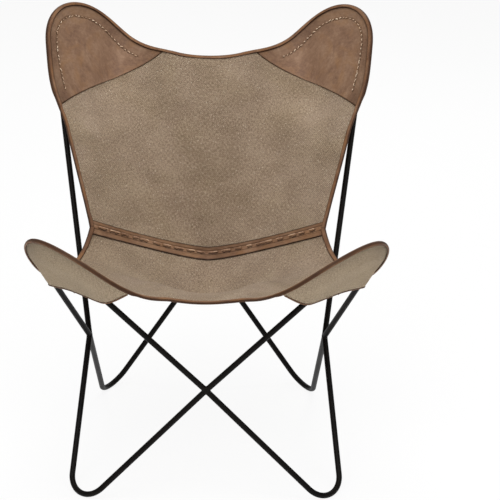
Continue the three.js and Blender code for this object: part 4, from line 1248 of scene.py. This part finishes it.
# Hand stitches
# Thick waxed thread, sewn by hand: short arches from hole to hole that sit a little unevenly along
# the corner patches, in tan, and down the middle of the waist band, in brown.
corner_thread_radius = 0.00100
band_thread_radius = 0.00090
thread_sides = 6
arch_steps = 8
arch_radii = 1.4
sunk_radii = 0.5
band_slant_share = 0.1


def waxed_thread(name, dark, middle, pale):
    twist_size, soil_size = 0.0016, 0.020
    twist_depth = 0.0002
    thread = new_material(name)
    place = add_node(thread, "TexCoord").outputs["Object"]
    twist = add_node(thread, "TexNoise", {"Scale": 1 / twist_size, "Detail": 3.0}, {"Vector": place})
    soiled = add_node(thread, "TexNoise", {"Scale": 1 / soil_size, "Detail": 3.0}, {"Vector": place})
    tone = add_node(thread, "Math", {1: 0.5}, {0: twist.outputs["Fac"], 2: soiled.outputs["Fac"]},
                    operation="MULTIPLY_ADD")
    colour = add_node(thread, "ValToRGB", {}, {"Fac": tone.outputs[0]},
                      [(0.58, linear(dark)), (0.75, linear(middle)), (0.90, linear(pale))])
    strands = add_node(thread, "Bump", {"Strength": 0.6, "Distance": twist_depth},
                       {"Height": twist.outputs["Fac"]})
    shader = add_node(thread, "BsdfPrincipled", {"Roughness": 0.6},
                      {"Base Color": colour.outputs["Color"], "Normal": strands.outputs["Normal"]})
    add_node(thread, "OutputMaterial", {}, {"Surface": shader.outputs["BSDF"]})
    return thread


corner_thread = waxed_thread("waxed tan thread", "8f6f53", "c4a588", "e6cfb4")
band_thread = waxed_thread("waxed brown thread", "77553c", "aa866a", "d4b493")


# One stitch: a small ring spun over half a turn and pressed down to a low arch along X.
def stitch_pattern(length, thread_radius):
    deselect()
    bpy.ops.mesh.primitive_circle_add(vertices=thread_sides, radius=thread_radius,
                                      location=(length / 2, 0, 0))
    stitch = bpy.context.object
    bpy.ops.object.transform_apply()
    bpy.ops.object.mode_set(mode="EDIT")
    bpy.ops.mesh.select_all(action="SELECT")
    bpy.ops.mesh.spin(steps=arch_steps, angle=math.pi, axis=(0, 1, 0), center=(0, 0, 0))
    bpy.ops.mesh.select_all(action="SELECT")
    bpy.ops.transform.resize(value=(1, 1, arch_radii * thread_radius / (length / 2)))
    bpy.ops.mesh.fill_holes(sides=thread_sides)
    bpy.ops.mesh.normals_make_consistent(inside=False)
    bpy.ops.object.mode_set(mode="OBJECT")
    bpy.ops.object.shade_smooth()
    return stitch


# Copies of a stitch from hole to hole along a line on the leather, each with its own slant.
def stitch_row(name, node, thread, thread_radius, length, line, rise, stitches):
    pattern = stitch_pattern(length, thread_radius)
    copies = []
    for at, own_length, slant, stray in zip(*stitches):
        spot = along_line(line, at)
        up = rise[nearest(line, spot[None]).argmin()]
        heading = unit(along_line(line, at + length / 2) - along_line(line, at - length / 2))
        cross = unit(np.cross(up, heading))
        spot = spot + stray * cross
        heading = unit(np.cross(cross, up) + slant * cross)
        cross = np.cross(up, heading)
        copy = pattern.copy()
        copy.data = pattern.data.copy()
        turn = Matrix((heading * own_length / length, cross, up)).transposed().to_4x4()
        copy.data.transform(Matrix.Translation(spot - up * thread_radius * sunk_radii) @ turn)
        bpy.context.collection.objects.link(copy)
        copies.append(copy)
    bpy.data.objects.remove(pattern)
    deselect()
    for copy in copies:
        copy.select_set(True)
    bpy.context.view_layer.objects.active = copies[0]
    bpy.ops.object.join()
    finish_piece(copies[0], name, thread, [node])


for side_name, (line, line_rise, stitches) in corner_rows.items():
    stitch_row(side_name + "_top_corner_stitches", side_name + "_top_corner_thread",
               corner_thread, corner_thread_radius, corner_stitch_length, line, line_rise, stitches)
at, lengths, slants, strays = band_stitches
stitch_row("waist_band_stitches", "waist_band_thread", band_thread, band_thread_radius,
           band_stitch_length, band_line, band_rise, (at, lengths, slants * band_slant_share, strays))


# Floor and light
# A plain white floor that keeps a soft shadow, and a studio's wide soft lamps round the chair.
floor_size = 60
floor_glow_share = 0.9
bpy.ops.mesh.primitive_plane_add(size=floor_size)
floor = bpy.context.object
floor.name = "floor"
floor_white = new_material("white floor")
rays = add_node(floor_white, "LightPath")
seen = add_node(floor_white, "Math", {}, {0: rays.outputs["Is Camera Ray"],
                                          1: rays.outputs["Is Glossy Ray"]}, operation="MAXIMUM")
seen_through = add_node(floor_white, "Math", {}, {0: seen.outputs[0],
                                                  1: rays.outputs["Is Transmission Ray"]},
                        operation="MAXIMUM")
share = add_node(floor_white, "Math", {1: floor_glow_share}, {0: seen_through.outputs[0]},
                 operation="MULTIPLY")
plain = add_node(floor_white, "BsdfDiffuse", {"Color": linear("fafafa")})
glow = add_node(floor_white, "Emission", {"Color": (1, 1, 1, 1), "Strength": 1.0})
both = add_node(floor_white, "MixShader", {}, {0: share.outputs[0], 1: plain.outputs[0],
                                               2: glow.outputs[0]})
add_node(floor_white, "OutputMaterial", {}, {"Surface": both.outputs[0]})
floor.data.materials.append(floor_white)

world = bpy.data.worlds.new("studio")
world.use_nodes = True
bpy.context.scene.world = world
world.node_tree.nodes.clear()
world_rays = add_node(world, "LightPath")
world_seen = add_node(world, "Math", {}, {0: world_rays.outputs["Is Camera Ray"],
                                          1: world_rays.outputs["Is Transmission Ray"]},
                      operation="MAXIMUM")
world_strength = add_node(world, "MapRange", {"To Min": 0.36, "To Max": 1.0},
                          {"Value": world_seen.outputs[0]})
world_light = add_node(world, "Background", {"Color": (1, 1, 1, 1)},
                       {"Strength": world_strength.outputs[0]})
add_node(world, "OutputWorld", {}, {"Surface": world_light.outputs[0]})

lamps = {
    "key": ((-0.9, -2.4, 3.0), 1.6, 34),
    "fill": ((1.5, -2.0, 2.5), 1.6, 17),
    "above": ((0, -0.1, 3.2), 2.2, 58),
    "behind": ((0.6, 2.4, 2.0), 1.6, 18),
}
look_at = Vector((0, 0, 0.5))
for name, (spot, size, power) in lamps.items():
    lamp_data = bpy.data.lights.new(name, "AREA")
    lamp_data.size = size
    lamp_data.energy = power
    lamp = bpy.data.objects.new(name, lamp_data)
    lamp.location = spot
    lamp.rotation_euler = (look_at - Vector(spot)).to_track_quat("-Z", "Y").to_euler()
    bpy.context.collection.objects.link(lamp)
